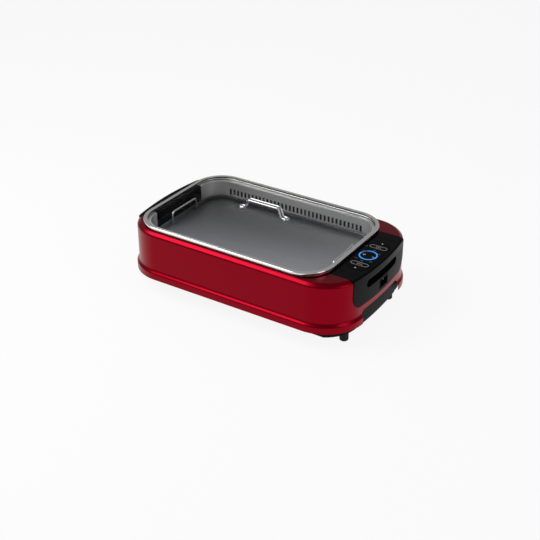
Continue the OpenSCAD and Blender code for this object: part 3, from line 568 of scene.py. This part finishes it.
def well_steel():
    return finish(
        "satin_steel_sheet", (0.95, 0.945, 0.94), (0.88, 0.875, 0.87), 0.45, spread=0.16, metallic=1.0,
        grain=(40, 40, 2400), patches=12.0, bump=0.01 * MM,
    )


def nonstick_painted_sheen():
    """The plate's coating with fine flakes. Its colour is painted lighter towards the front and the controls, as
    a painted sheen standing in for light caught there.
    """
    name = "nonstick_coating"
    if name in bpy.data.materials:
        return bpy.data.materials[name]
    c = bpy.context.scene.grill_cooking.coating
    # Painted sheen: the slope, span and strength of the lightening that is painted into the coating's colour.
    painted_sheen_slope, painted_sheen_from, painted_sheen_to = (1.3, -3.1, 0), -0.57, 0.5
    painted_sheen_power, painted_sheen_gain = 1.5, 11.5
    material = finish(
        name, c, shade(c, 0.75), 0.4, spread=0.2, metallic=0.1, grain=(900, 60, 900), patches=7.0,
        bump=0.02 * MM, specular=0.35,
    )
    tree, shader, grained, place = parts_of(material)
    across = add_node(tree, "VectorMath", {0: place, 1: painted_sheen_slope}, operation="DOT_PRODUCT").outputs["Value"]
    painted_sheen_ramp = add_node(tree, "MapRange", {"From Min": painted_sheen_from, "From Max": painted_sheen_to, "Value": across})
    curve = add_node(tree, "Math", {0: painted_sheen_ramp.outputs["Result"], 1: painted_sheen_power}, operation="POWER").outputs[0]
    # Painted sheen: the coating's colour is mixed towards a much lighter copy of itself.
    painted_sheen_colour = mix_colours(tree, curve, grained.outputs["Colour"], (*shade(c, painted_sheen_gain), 1))
    tree.links.new(painted_sheen_colour, shader.inputs["Base Color"])
    return material


def lid_glass():
    return finish(
        "lid_glass_clear", (0.97, 0.99, 0.99), (0.95, 0.98, 0.98), 0.02, spread=0.03, transmission=1.0,
        alpha=0.02, grain=60, patches=11.0, ior=1.25,
    )


def rubber():
    return finish(
        "foot_rubber", (0.012, 0.012, 0.012), (0.02, 0.02, 0.02), 0.72, spread=0.12, grain=1500,
        bump=0.02 * MM, specular=0.25,
    )


def seal_rubber():
    return finish(
        "seal_silicone", (0.02, 0.018, 0.018), (0.03, 0.028, 0.027), 0.55, spread=0.12, grain=1200,
        bump=0.01 * MM, specular=0.3,
    )


def heater_steel():
    return finish(
        "heat_darkened_tube", (0.12, 0.11, 0.105), (0.26, 0.2, 0.17), 0.46, spread=0.2, metallic=0.9,
        grain=260, patches=24.0, bump=0.02 * MM,
    )


def zinc():
    return finish(
        "zinc_plating", (0.5, 0.5, 0.48), (0.38, 0.38, 0.37), 0.36, spread=0.2, metallic=1.0,
        grain=1400, patches=60.0, bump=0.01 * MM,
    )


def ceramic():
    return finish(
        "ceramic_block", (0.68, 0.65, 0.58), (0.6, 0.57, 0.5), 0.4, spread=0.14, grain=900,
        patches=20.0, bump=0.01 * MM,
    )


def brass():
    return finish(
        "brass_contacts", (0.7, 0.5, 0.22), (0.58, 0.4, 0.17), 0.28, spread=0.16, metallic=1.0,
        grain=900, patches=40.0,
    )


def board_green():
    return finish(
        "circuit_board", (0.012, 0.1, 0.045), (0.02, 0.14, 0.06), 0.32, spread=0.14, grain=(700, 90, 90),
        patches=60.0, bump=0.02 * MM,
    )


def grey_plastic():
    return finish(
        "grey_moulding", (0.075, 0.076, 0.078), (0.095, 0.095, 0.097), 0.5, spread=0.12, grain=1800,
        bump=0.015 * MM, specular=0.35,
    )


def print_white():
    return finish("printed_white", (0.72, 0.72, 0.72), (0.62, 0.62, 0.62), 0.5, spread=0.1, grain=1200)


def print_grey():
    return finish("printed_grey", (0.2, 0.2, 0.2), (0.14, 0.14, 0.14), 0.5, spread=0.1, grain=1200)


def print_silver():
    return finish("printed_silver", (0.42, 0.42, 0.43), (0.34, 0.34, 0.35), 0.4, spread=0.1, grain=1200)


def glow_blue():
    """The light ring, dimmer over the part of it that isn't lit."""
    name = "blue_light_ring"
    if name in bpy.data.materials:
        return bpy.data.materials[name]
    settings = bpy.context.scene.grill_controls
    dark = shade(settings.glow, 0.1)
    unlit, fade_from, fade_to = math.radians(140), 0.78, 0.95
    material = finish(name, dark, shade(dark, 0.7), 0.25, grain=500)
    tree, shader, _, place = parts_of(material)
    centre = add_node(tree, "Mapping", {"Vector": place, "Location": (-(ring_lo.x + ring_hi.x) / 2, 0, 0)})
    aim = add_node(
        tree, "VectorMath", {0: centre.outputs["Vector"], 1: (math.cos(unlit), math.sin(unlit), 0)},
        operation="DOT_PRODUCT",
    )
    reach = (ring_hi.x - ring_lo.x) / 2
    ramp = add_node(
        tree, "MapRange",
        {"From Min": fade_from * reach, "From Max": fade_to * reach, "Value": aim.outputs["Value"]},
        interpolation_type="SMOOTHSTEP",
    )
    lit = mix_colours(tree, ramp.outputs["Result"], settings.glow, (*shade(settings.glow, 0.12), 1))
    tree.links.new(lit, shader.inputs["Emission Color"])
    shader.inputs["Emission Strength"].default_value = settings.glow_strength
    return material


CARRIED_OVER = {
    "foot_screws": zinc,
    "shell_screws": zinc,
    "heater_hooks": well_steel,
    "heater_socket": ceramic,
    "control_board": board_green,
    "board_screws": zinc,
    "inlet_socket": satin_black,
    "inlet_pins": brass,
    "air_duct": grey_plastic,
    "fan_casing": grey_plastic,
    "fan_motor": zinc,
    "fan_wheel": grey_plastic,
    "fan_shaft": zinc,
    "casing_screws": zinc,
    "drip_tray": well_steel,
    "heating_tube": heater_steel,
    "heater_straps": well_steel,
    "heater_block": ceramic,
    "heater_contacts": brass,
    "lid_seal": seal_rubber,
    "handle_washers": chrome,
    "handle_nuts": zinc,
    "light_ring": glow_blue,
}


# ---------------------------------------------------------------- pieces


class GRILL_OT_carry_over(bpy.types.Operator):
    """Give the solids that are kept as they are their finishes"""

    bl_idname = "grill.carry_over"
    bl_label = "Kept solids"

    def execute(self, context):
        for node, maker in CARRIED_OVER.items():
            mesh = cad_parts[node].data
            mesh.materials.clear()
            mesh.materials.append(maker())
        return {"FINISHED"}


class GRILL_OT_shell(bpy.types.Operator):
    """Build the enamelled shell"""

    bl_idname = "grill.shell"
    bl_label = "Shell"

    def execute(self, context):
        s = context.scene.grill_shell
        t = s.sheet
        top, low = shell_hi.z, shell_lo.z
        flare = shell_hi.y - s.wall_width / 2
        band = low + s.band_height
        wall = band + s.slope_height
        fold = top - s.fold_height
        inward, clear = -78 * MM, 2 * MM
        section = [
            (flare - t, low), (flare, low), (flare, band), (0, wall), (0, fold), (-s.fold_width, top),
            (inward, top), (inward, top - t), (-s.fold_width, top - t), (-t, fold), (-t, wall),
            (flare - t, band),
        ]
        bm = bmesh.new()
        rings = loft(bm, bowed_outline(s), section)
        for ring, width in ((2, 1.6), (3, 2.4), (4, 3.0), (5, 2.2)):
            soften(bm, rings[ring], width * MM, 5)
        soften(bm, rings[1], 0.4 * MM, 2)
        shell = new_mesh(bm, "shell")

        cutters = []
        gap = 1.4 * MM
        bm = bmesh.new()
        room = 3.5 * MM + gap
        half_l, half_w = (plate_hi.x - plate_lo.x) / 2 + room, (plate_hi.y - plate_lo.y) / 2 + room
        rounded_block(
            bm, (well_x - half_l, -half_w, top - 8 * MM), (well_x + half_l, half_w, top + clear), 47 * MM,
            segments=20,
        )
        cutters.append(new_mesh(bm, "well_cutter"))
        for side in (-1, 1):
            lo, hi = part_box("control_housing" if side > 0 else "end_cap")
            gap = 0.3 * MM
            inner = (lo.x - gap) if side > 0 else (hi.x + gap)
            outer = side * (shell_hi.x + 10 * MM)
            bm = bmesh.new()
            rounded_block(
                bm, (min(inner, outer), lo.y - gap, lo.z - gap), (max(inner, outer), hi.y + gap, top + clear),
                26.3 * MM, axis=0, segments=14, test=lambda e: e.verts[0].co.z < lo.z,
            )
            cutters.append(new_mesh(bm, "notch_cutter"))
        bm = bmesh.new()
        window_w = 78 * MM
        cap_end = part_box("end_cap")[1].x
        add_block(bm, (cap_end - MM, -window_w, top - 6 * MM), (well_lo.x + 16 * MM, window_w, top + clear))
        cutters.append(new_mesh(bm, "window_cutter"))
        bm = bmesh.new()
        arch_w, arch_top = 75 * MM, 64 * MM
        rounded_block(
            bm, (170 * MM, -arch_w, low - MM), (shell_hi.x + 10 * MM, arch_w, arch_top), 14 * MM, axis=0,
            segments=12, test=lambda e: e.verts[0].co.z > low,
        )
        cutters.append(new_mesh(bm, "arch_cutter"))
        for x in (-150, 0, 150):
            bm = bmesh.new()
            add_disc(bm, (x * MM, s.wall_width / 2, 64.5 * MM), 2 * MM, 6 * MM, axis=1)
            cutters.append(new_mesh(bm, "screw_cutter"))
        show(cut(shell, cutters), "shell_enamelled", "body", red_enamel(), ["outer_shell"])
        return {"FINISHED"}


class GRILL_OT_base(bpy.types.Operator):
    """Build the base pan and its four feet"""

    bl_idname = "grill.base"
    bl_label = "Base and feet"

    def execute(self, context):
        pan = solid_copy("base_pan", 0.6 * MM)
        show(pan, "base_pan_moulded", "body", satin_black(), ["base_pan"])
        for node in ("foot_front_left", "foot_front_right", "foot_rear_left", "foot_rear_right"):
            lo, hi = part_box(node)
            centre, radius = (lo + hi) / 2, (hi.x - lo.x) / 2
            bm = bmesh.new()
            add_disc(bm, centre, radius, hi.z - lo.z, segments=48)
            under = min(bm.faces, key=lambda f: f.calc_center_median().z)
            soften(bm, under.edges, 3 * MM, 5)
            under = min(bm.faces, key=lambda f: f.calc_center_median().z)
            bmesh.ops.inset_individual(bm, faces=[under], thickness=radius - 7 * MM)
            recess = bmesh.ops.extrude_face_region(bm, geom=[under])["geom"]
            raised = [g for g in recess if isinstance(g, bmesh.types.BMVert)]
            bmesh.ops.translate(bm, verts=raised, vec=(0, 0, 8 * MM))
            bmesh.ops.delete(bm, geom=[under], context="FACES_ONLY")
            show(new_mesh(bm, node), node + "_rubber", "body", rubber(), [node])
        return {"FINISHED"}


class GRILL_OT_ends(bpy.types.Operator):
    """Build the moulded end piece on the left and the control housing on the right"""

    bl_idname = "grill.ends"
    bl_label = "End pieces"

    def execute(self, context):
        s = context.scene.grill_controls
        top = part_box("control_housing")[1].z
        housing = solid_copy("control_housing", s.edge_softness)
        bm = bmesh.new()
        middle = 232.2 * MM
        outline = rounded_outline(28.2 * MM, 78.5 * MM, 13 * MM, centre=(middle, 0))
        for point, out in outline:
            if point.x > middle:
                point.x -= point.y ** 2 / (2 * context.scene.grill_shell.bow_radius)
        line_w, line_low, line_top = 0.9 * MM, top - 0.6 * MM, top + MM
        loft(bm, outline, [(0, line_low), (line_w, line_low), (line_w, line_top), (0, line_top)])
        housing = cut(housing, [new_mesh(bm, "frame_line")])
        show(housing, "control_housing_moulded", "body", housing_black(), ["control_housing"])
        cap = solid_copy("end_cap", s.edge_softness)
        show(cap, "end_cap_moulded", "body", housing_black(), ["end_cap"])
        return {"FINISHED"}


class GRILL_OT_controls(bpy.types.Operator):
    """Build the glossy panel with its touch keys and marks"""

    bl_idname = "grill.controls"
    bl_label = "Controls"

    def execute(self, context):
        s = context.scene.grill_controls
        panel = solid_copy("control_panel", 0.2 * MM)
        show(panel, "control_panel_gloss", "body", gloss_black(), ["control_panel"])
        x, z = 231.5 * MM, panel_top
        lift, stroke = 0.06 * MM, 0.9 * MM
        outlines = []
        for side in (-1, 1):
            bm = bmesh.new()
            half_w = s.key_width / 2
            middle = (x, side * s.key_distance)
            outline = rounded_outline(s.key_length / 2, half_w, half_w - 0.01 * MM, 8, middle)
            loft(bm, outline, [(0, z - lift), (0, z + lift), (-stroke, z + lift), (-stroke, z - lift)])
            outlines.append(new_mesh(bm, "key_outline"))
        outlines = joined("key_outlines", outlines)
        show(outlines, "touch_key_outlines", "body", print_silver(), even=False)
        marks = []
        for side in (-1, 1):
            bm = bmesh.new()
            y = side * s.key_distance
            for k in (-1, 0, 1):
                rounded_block(
                    bm, (x + (k * 4 - 1.3) * MM, y - 2.6 * MM, z - lift),
                    (x + (k * 4 + 1.3) * MM, y + 2.6 * MM, z + lift), 1.2 * MM, segments=4,
                )
            marks.append(new_mesh(bm, "key_mark"))
        show(joined("key_marks", marks), "touch_key_marks", "body", print_grey(), even=False)
        bm = bmesh.new()
        for side in (-1, 1):
            add_disc(bm, (x, side * 55.7 * MM, z), 1.6 * MM, 2 * lift, segments=24)
        strokes = ((218.3, -1.5, 224.3, -0.3), (220.7, -3.9, 221.9, 2.1), (239.1, -2.6, 244.1, -1.4))
        for x0, y0, x1, y1 in strokes:
            add_block(bm, (x0 * MM, y0 * MM, z - lift), (x1 * MM, y1 * MM, z + lift))
        show(new_mesh(bm, "white_marks"), "panel_white_marks", "body", print_white(), even=False)
        words = []
        places = ((208, 32), (213, 13), (198, 7), (214, -21), (229, -26), (245.5, -20.6), (245, 14), (231, 23.5))
        for count, (px, py) in enumerate(places):
            words.append(text_mesh("figure", str(50 * (count + 2)), 4.2 * MM, (px * MM, py * MM, z)))
        figures = joined("panel_figures", words)
        show(figures, "panel_figures_grey", "body", print_grey(), even=False)
        return {"FINISHED"}


class GRILL_OT_inlet(bpy.types.Operator):
    """Build the frame round the power inlet"""

    bl_idname = "grill.inlet"
    bl_label = "Power inlet"

    def execute(self, context):
        s = context.scene.grill_controls
        rib, proud = 1.2 * MM, 0.5 * MM
        half_w, half_h = 23.5 * MM, 13 * MM
        bm = bmesh.new()
        outline = rounded_outline(half_w, half_h, 2 * MM, 6)
        rings = loft(bm, outline, [(0, -proud), (0, proud), (-rib, proud), (-rib, -proud)])
        soften(bm, rings[1] + rings[2], 0.3 * MM, 2)
        upright = Matrix(((0, 0, 1), (1, 0, 0), (0, 1, 0)))
        bmesh.ops.rotate(bm, verts=bm.verts, cent=(0, 0, 0), matrix=upright)
        for v in bm.verts:
            v.co.x -= (v.co.y + s.inlet_shift) ** 2 / (2 * context.scene.grill_shell.bow_radius)
        middle = (socket_lo.z + socket_hi.z) / 2 - 2 * MM
        wall = context.scene.grill_shell.wall_length / 2
        bmesh.ops.translate(bm, verts=bm.verts, vec=(wall, s.inlet_shift, middle))
        inlet = new_mesh(bm, "inlet_frame")
        show(inlet, "inlet_frame_moulded", "body", housing_black(), angle=60)
        return {"FINISHED"}


class GRILL_OT_well(bpy.types.Operator):
    """Build the steel well with its slotted back wall"""

    bl_idname = "grill.well"
    bl_label = "Cooking well"

    def execute(self, context):
        well = solid_copy("cooking_well", 0.3 * MM)
        show(well, "cooking_well_sheet", "body", well_steel(), ["cooking_well"])
        return {"FINISHED"}


class GRILL_OT_plate(bpy.types.Operator):
    """Build the cast griddle plate and its two wire handles"""

    bl_idname = "grill.plate"
    bl_label = "Griddle plate"

    def execute(self, context):
        s = context.scene.grill_cooking
        plate = solid_copy("griddle_plate", s.edge_softness)
        show(plate, "griddle_plate_cast", "plate", nonstick_painted_sheen(), ["griddle_plate"])
        for node in ("plate_handle_left", "plate_handle_right"):
            lo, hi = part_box(node)
            x, r = (lo.x + hi.x) / 2, s.wire / 2
            points = [(x, lo.y + r, lo.z), (x, lo.y + r, hi.z - r), (x, hi.y - r, hi.z - r), (x, hi.y - r, lo.z)]
            wire = wire_mesh(node, bent_path(points, s.bend), s.wire)
            show(wire, node + "_wire", "plate", chrome(), [node], angle=50, even=False)
        return {"FINISHED"}


class GRILL_OT_lid_rim(bpy.types.Operator):
    """Build the polished rim round the lid"""

    bl_idname = "grill.lid_rim"
    bl_label = "Lid rim"

    def execute(self, context):
        s = context.scene.grill_lid
        half_l, half_w = (rim_hi.x - rim_lo.x) / 2, (rim_hi.y - rim_lo.y) / 2
        low, top, w = rim_lo.z, rim_hi.z, s.rim_width
        slot_low, slot_top = glass_lo.z, glass_lo.z + s.glass_thickness
        groove, inner, slot_end = 0.45 * MM, top - 0.15 * MM, -1.5 * MM
        section = [
            (-w, low), (0, low), (0, top), (-4.6 * MM, top), (-5.1 * MM, top - groove), (-5.6 * MM, inner),
            (-w, inner), (-w, slot_top), (slot_end, slot_top), (slot_end, slot_low), (-w, slot_low),
        ]
        bm = bmesh.new()
        rings = loft(bm, rounded_outline(half_l, half_w, s.corner_radius, 18, (well_x, 0)), section)
        soften(bm, rings[2], 1.9 * MM, 5)
        soften(bm, rings[1], 1.4 * MM, 4)
        soften(bm, rings[3], 0.8 * MM, 3)
        soften(bm, rings[6], 0.35 * MM, 2)
        show(new_mesh(bm, "lid_rim"), "lid_rim_polished", "lid", rim_steel(), ["lid_rim"], angle=40)
        return {"FINISHED"}


class GRILL_OT_lid_glass(bpy.types.Operator):
    """Build the domed glass of the lid"""

    bl_idname = "grill.lid_glass"
    bl_label = "Lid glass"

    def execute(self, context):
        s = context.scene.grill_lid
        half_l, half_w = (glass_hi.x - glass_lo.x) / 2, (glass_hi.y - glass_lo.y) / 2
        radius, t = s.corner_radius - 1.5 * MM, s.glass_thickness
        edge_top = glass_lo.z + t
        rise = glass_hi.z - edge_top
        flat_l, flat_w, flat_r, w = 74 * MM, 14 * MM, 13 * MM, s.rim_width

        def ring(u, inset):
            """Size of the dome's outline at a share of the way from its edge to its flat top."""
            share = 1 - math.cos(math.radians(90) * u)
            return (
                half_l - w - inset - (half_l - w - flat_l) * share,
                half_w - w - inset - (half_w - w - flat_w) * share,
                radius - w - inset - (radius - w - inset - flat_r) * share,
            )

        levels = []
        n = s.dome_steps
        for j in range(n, -1, -1):
            a = math.radians(90) * j / n
            levels.append((ring(j / n, t * math.cos(a)), edge_top + rise * math.sin(a) ** 0.8 - t * math.sin(a)))
        levels.append((ring(0, t), glass_lo.z))
        levels.append(((half_l, half_w, radius), glass_lo.z))
        levels.append(((half_l, half_w, radius), edge_top))
        for j in range(n + 1):
            a = math.radians(90) * j / n
            levels.append((ring(j / n, 0), edge_top + rise * math.sin(a) ** 0.8))

        bm = bmesh.new()
        size, height = levels[0]
        outline = rounded_outline(*size, 14, (well_x, 0))
        verts = [bm.verts.new(p + Vector((0, 0, height))) for p, out in outline]
        order = {v: i for i, v in enumerate(verts)}
        edges = [bm.edges.new((verts[i - 1], verts[i])) for i in range(len(verts))]
        first = edges
        for size, height in levels[1:]:
            outline = rounded_outline(*size, 14, (well_x, 0))
            made = bmesh.ops.extrude_edge_only(bm, edges=edges)["geom"]
            fresh = [g for g in made if isinstance(g, bmesh.types.BMVert)]
            place = {
                v: next(order[e.other_vert(v)] for e in v.link_edges if e.other_vert(v) in order) for v in fresh
            }
            for v, i in place.items():
                v.co = outline[i][0] + Vector((0, 0, height))
            order = place
            edges = [g for g in made if isinstance(g, bmesh.types.BMEdge) and all(v in order for v in g.verts)]
        bmesh.ops.edgeloop_fill(bm, edges=first)
        bmesh.ops.edgeloop_fill(bm, edges=edges)
        glass = new_mesh(bm, "lid_glass")
        cutters = []
        for side in (-1, 1):
            bm = bmesh.new()
            middle = (wire_hi.x - wire_lo.x) / 2 - s.wire_gap / 2 - s.wire / 2
            add_disc(bm, (wire_x + side * middle, 0, glass_hi.z), 1.75 * MM, 12 * MM)
            cutters.append(new_mesh(bm, "glass_hole"))
        show(cut(glass, cutters), "lid_glass_dome", "lid", lid_glass(), ["lid_glass"], even=False)
        return {"FINISHED"}


class GRILL_OT_lid_handle(bpy.types.Operator):
    """Bend the lid handle's wire loop and fit its screws"""

    bl_idname = "grill.lid_handle"
    bl_label = "Lid handle"

    def execute(self, context):
        s = context.scene.grill_lid
        r, y = s.wire / 2, s.wire_gap / 2
        eye = (wire_hi.x - wire_lo.x) / 2 - y - r
        clear, bend = 1.06 * r, 7 * MM
        foot, top = wire_lo.z + clear, wire_hi.z - clear
        rise, bar = eye - 9 * MM, s.bar_length / 2
        side = [(-eye, foot), (-rise, foot), (-bar, top), (bar, top), (rise, foot), (eye, foot)]
        front = bent_path([(wire_x + x, -y, z) for x, z in side], bend)
        back = bent_path([(wire_x + x, y, z) for x, z in reversed(side)], bend)

        def eyelet(sign):
            """Points round the outer half of one eyelet, from the wire that arrives to the one that leaves."""
            turns = [math.radians(-90 + 180 * k / 12) * sign for k in range(1, 12)]
            return [Vector((wire_x + sign * (eye + y * math.cos(a)), y * math.sin(a), foot)) for a in turns]

        loop = front + eyelet(1) + back + eyelet(-1)
        wire = wire_mesh("lid_handle", loop, s.wire, closed=True)
        show(wire, "lid_handle_wire", "lid", chrome(), ["lid_handle"], angle=50, even=False)
        lo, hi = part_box("handle_screws")
        head_height, head_radius, shank_radius = 1.6 * MM, (hi.y - lo.y) / 2, 1.75 * MM
        bm = bmesh.new()
        for sign in (-1, 1):
            centre = Vector((wire_x + sign * eye, 0, 0))
            shank_top = hi.z - head_height
            add_disc(bm, centre + Vector((0, 0, (lo.z + shank_top) / 2)), shank_radius, shank_top - lo.z)
            middle = centre + Vector((0, 0, hi.z - head_height / 2))
            head = add_disc(bm, middle, head_radius, head_height, segments=40)
            edges = {e for v in head for e in v.link_edges}
            rim = [e for e in edges if all(v.co.z > hi.z - 0.1 * MM for v in e.verts)]
            soften(bm, rim, 0.9 * MM, 4)
        show(new_mesh(bm, "handle_screws"), "handle_screws_domed", "lid", chrome(), ["handle_screws"])
        return {"FINISHED"}


# ---------------------------------------------------------------- stage


class GRILL_OT_stage(bpy.types.Operator):
    """Set the floor, the lamps, the room light and the camera"""

    bl_idname = "grill.stage"
    bl_label = "Stage"

    def execute(self, context):
        s = context.scene.grill_stage
        scene = context.scene
        scene.view_settings.view_transform = "Standard"

        bm = bmesh.new()
        bmesh.ops.create_grid(bm, x_segments=1, y_segments=1, size=12.0)
        floor_mesh = new_mesh(bm, "floor")
        floor = bpy.data.objects.new("floor", floor_mesh)
        scene.collection.objects.link(floor)
        paint = bpy.data.materials.new("pale_floor")
        paint.use_nodes = True
        tree = paint.node_tree
        shader = tree.nodes["Principled BSDF"]
        shader.inputs["Base Color"].default_value = s.floor
        shader.inputs["Roughness"].default_value = 0.9
        shader.inputs["Specular IOR Level"].default_value = 0.0
        path = tree.nodes.new("ShaderNodeLightPath").outputs
        seen = add_node(
            tree, "Math", {0: path["Is Camera Ray"], 1: path["Is Transmission Ray"]}, operation="MAXIMUM"
        )
        shown = add_node(tree, "Math", {0: seen.outputs[0], 1: path["Is Glossy Ray"]}, operation="MAXIMUM")
        share = add_node(tree, "Math", {0: shown.outputs[0], 1: s.floor_white}, operation="MULTIPLY")
        white = add_node(tree, "Emission", {"Color": (1, 1, 1, 1), "Strength": 1.0})
        mixed = add_node(
            tree, "MixShader",
            {"Fac": share.outputs[0], 1: shader.outputs["BSDF"], 2: white.outputs["Emission"]},
        )
        tree.links.new(mixed.outputs["Shader"], tree.nodes["Material Output"].inputs["Surface"])
        floor_mesh.materials.append(paint)

        world = bpy.data.worlds.new("studio")
        scene.world = world
        world.use_nodes = True
        room = world.node_tree.nodes["Background"]
        room.inputs["Color"].default_value = (1, 1, 1, 1)
        room.inputs["Strength"].default_value = s.room_light

        for name, direction, distance, width, height, power in (
            ("key_lamp", (-0.47, -0.42, 0.76), 1.9, 1.5, 1.0, 21.0),
            ("right_lamp", (0.9, -0.1, 0.5), 2.0, 0.7, 1.1, 4.0),
        ):
            lamp = bpy.data.lights.new(name, "AREA")
            lamp.shape = "RECTANGLE"
            lamp.size, lamp.size_y = width, height
            lamp.energy = power
            holder = bpy.data.objects.new(name, lamp)
            scene.collection.objects.link(holder)
            toward = Vector(direction).normalized()
            holder.location = toward * distance
            holder.rotation_mode = "QUATERNION"
            holder.rotation_quaternion = toward.to_track_quat("Z", "Y")

        lens = bpy.data.cameras.new("camera")
        lens.sensor_width = 36.0
        lens.lens = s.lens
        lens.clip_start, lens.clip_end = 0.01, 50.0
        camera = bpy.data.objects.new("camera", lens)
        scene.collection.objects.link(camera)
        a, e = s.camera_azimuth, s.camera_elevation
        back = Vector((math.sin(a) * math.cos(e), -math.cos(a) * math.cos(e), math.sin(e)))
        camera.location = s.camera_place
        camera.rotation_mode = "QUATERNION"
        camera.rotation_quaternion = (-back).to_track_quat("-Z", "Y")
        scene.camera = camera
        return {"FINISHED"}


STEPS = (
    GRILL_OT_carry_over,
    GRILL_OT_shell,
    GRILL_OT_base,
    GRILL_OT_ends,
    GRILL_OT_controls,
    GRILL_OT_inlet,
    GRILL_OT_well,
    GRILL_OT_plate,
    GRILL_OT_lid_rim,
    GRILL_OT_lid_glass,
    GRILL_OT_lid_handle,
    GRILL_OT_stage,
)


class GRILL_PT_sidebar(bpy.types.Panel):
    """The grill's pieces and sizes"""

    bl_label = "Grill"
    bl_idname = "GRILL_PT_sidebar"
    bl_space_type = "VIEW_3D"
    bl_region_type = "UI"
    bl_category = "Grill"

    def draw(self, context):
        for settings in SETTINGS:
            group = getattr(context.scene, settings)
            box = self.layout.box()
            for name in group.__annotations__:
                box.prop(group, name)
        for step in STEPS:
            self.layout.operator(step.bl_idname)


SETTINGS = {
    "grill_shell": GrillShellSettings,
    "grill_lid": GrillLidSettings,
    "grill_cooking": GrillCookingSettings,
    "grill_controls": GrillControlSettings,
    "grill_stage": GrillStageSettings,
}


def register():
    for name, settings in SETTINGS.items():
        bpy.utils.register_class(settings)
        setattr(bpy.types.Scene, name, PointerProperty(type=settings))
    for step in STEPS:
        bpy.utils.register_class(step)
    bpy.utils.register_class(GRILL_PT_sidebar)


def unregister():
    bpy.utils.unregister_class(GRILL_PT_sidebar)
    for step in reversed(STEPS):
        bpy.utils.unregister_class(step)
    for name, settings in SETTINGS.items():
        delattr(bpy.types.Scene, name)
        bpy.utils.unregister_class(settings)


def main():
    register()
    bpy.ops.grill.carry_over()
    bpy.ops.grill.shell()
    bpy.ops.grill.base()
    bpy.ops.grill.ends()
    bpy.ops.grill.controls()
    bpy.ops.grill.inlet()
    bpy.ops.grill.well()
    bpy.ops.grill.plate()
    bpy.ops.grill.lid_rim()
    bpy.ops.grill.lid_glass()
    bpy.ops.grill.lid_handle()
    bpy.ops.grill.stage()


if __name__ == "__main__":
    main()
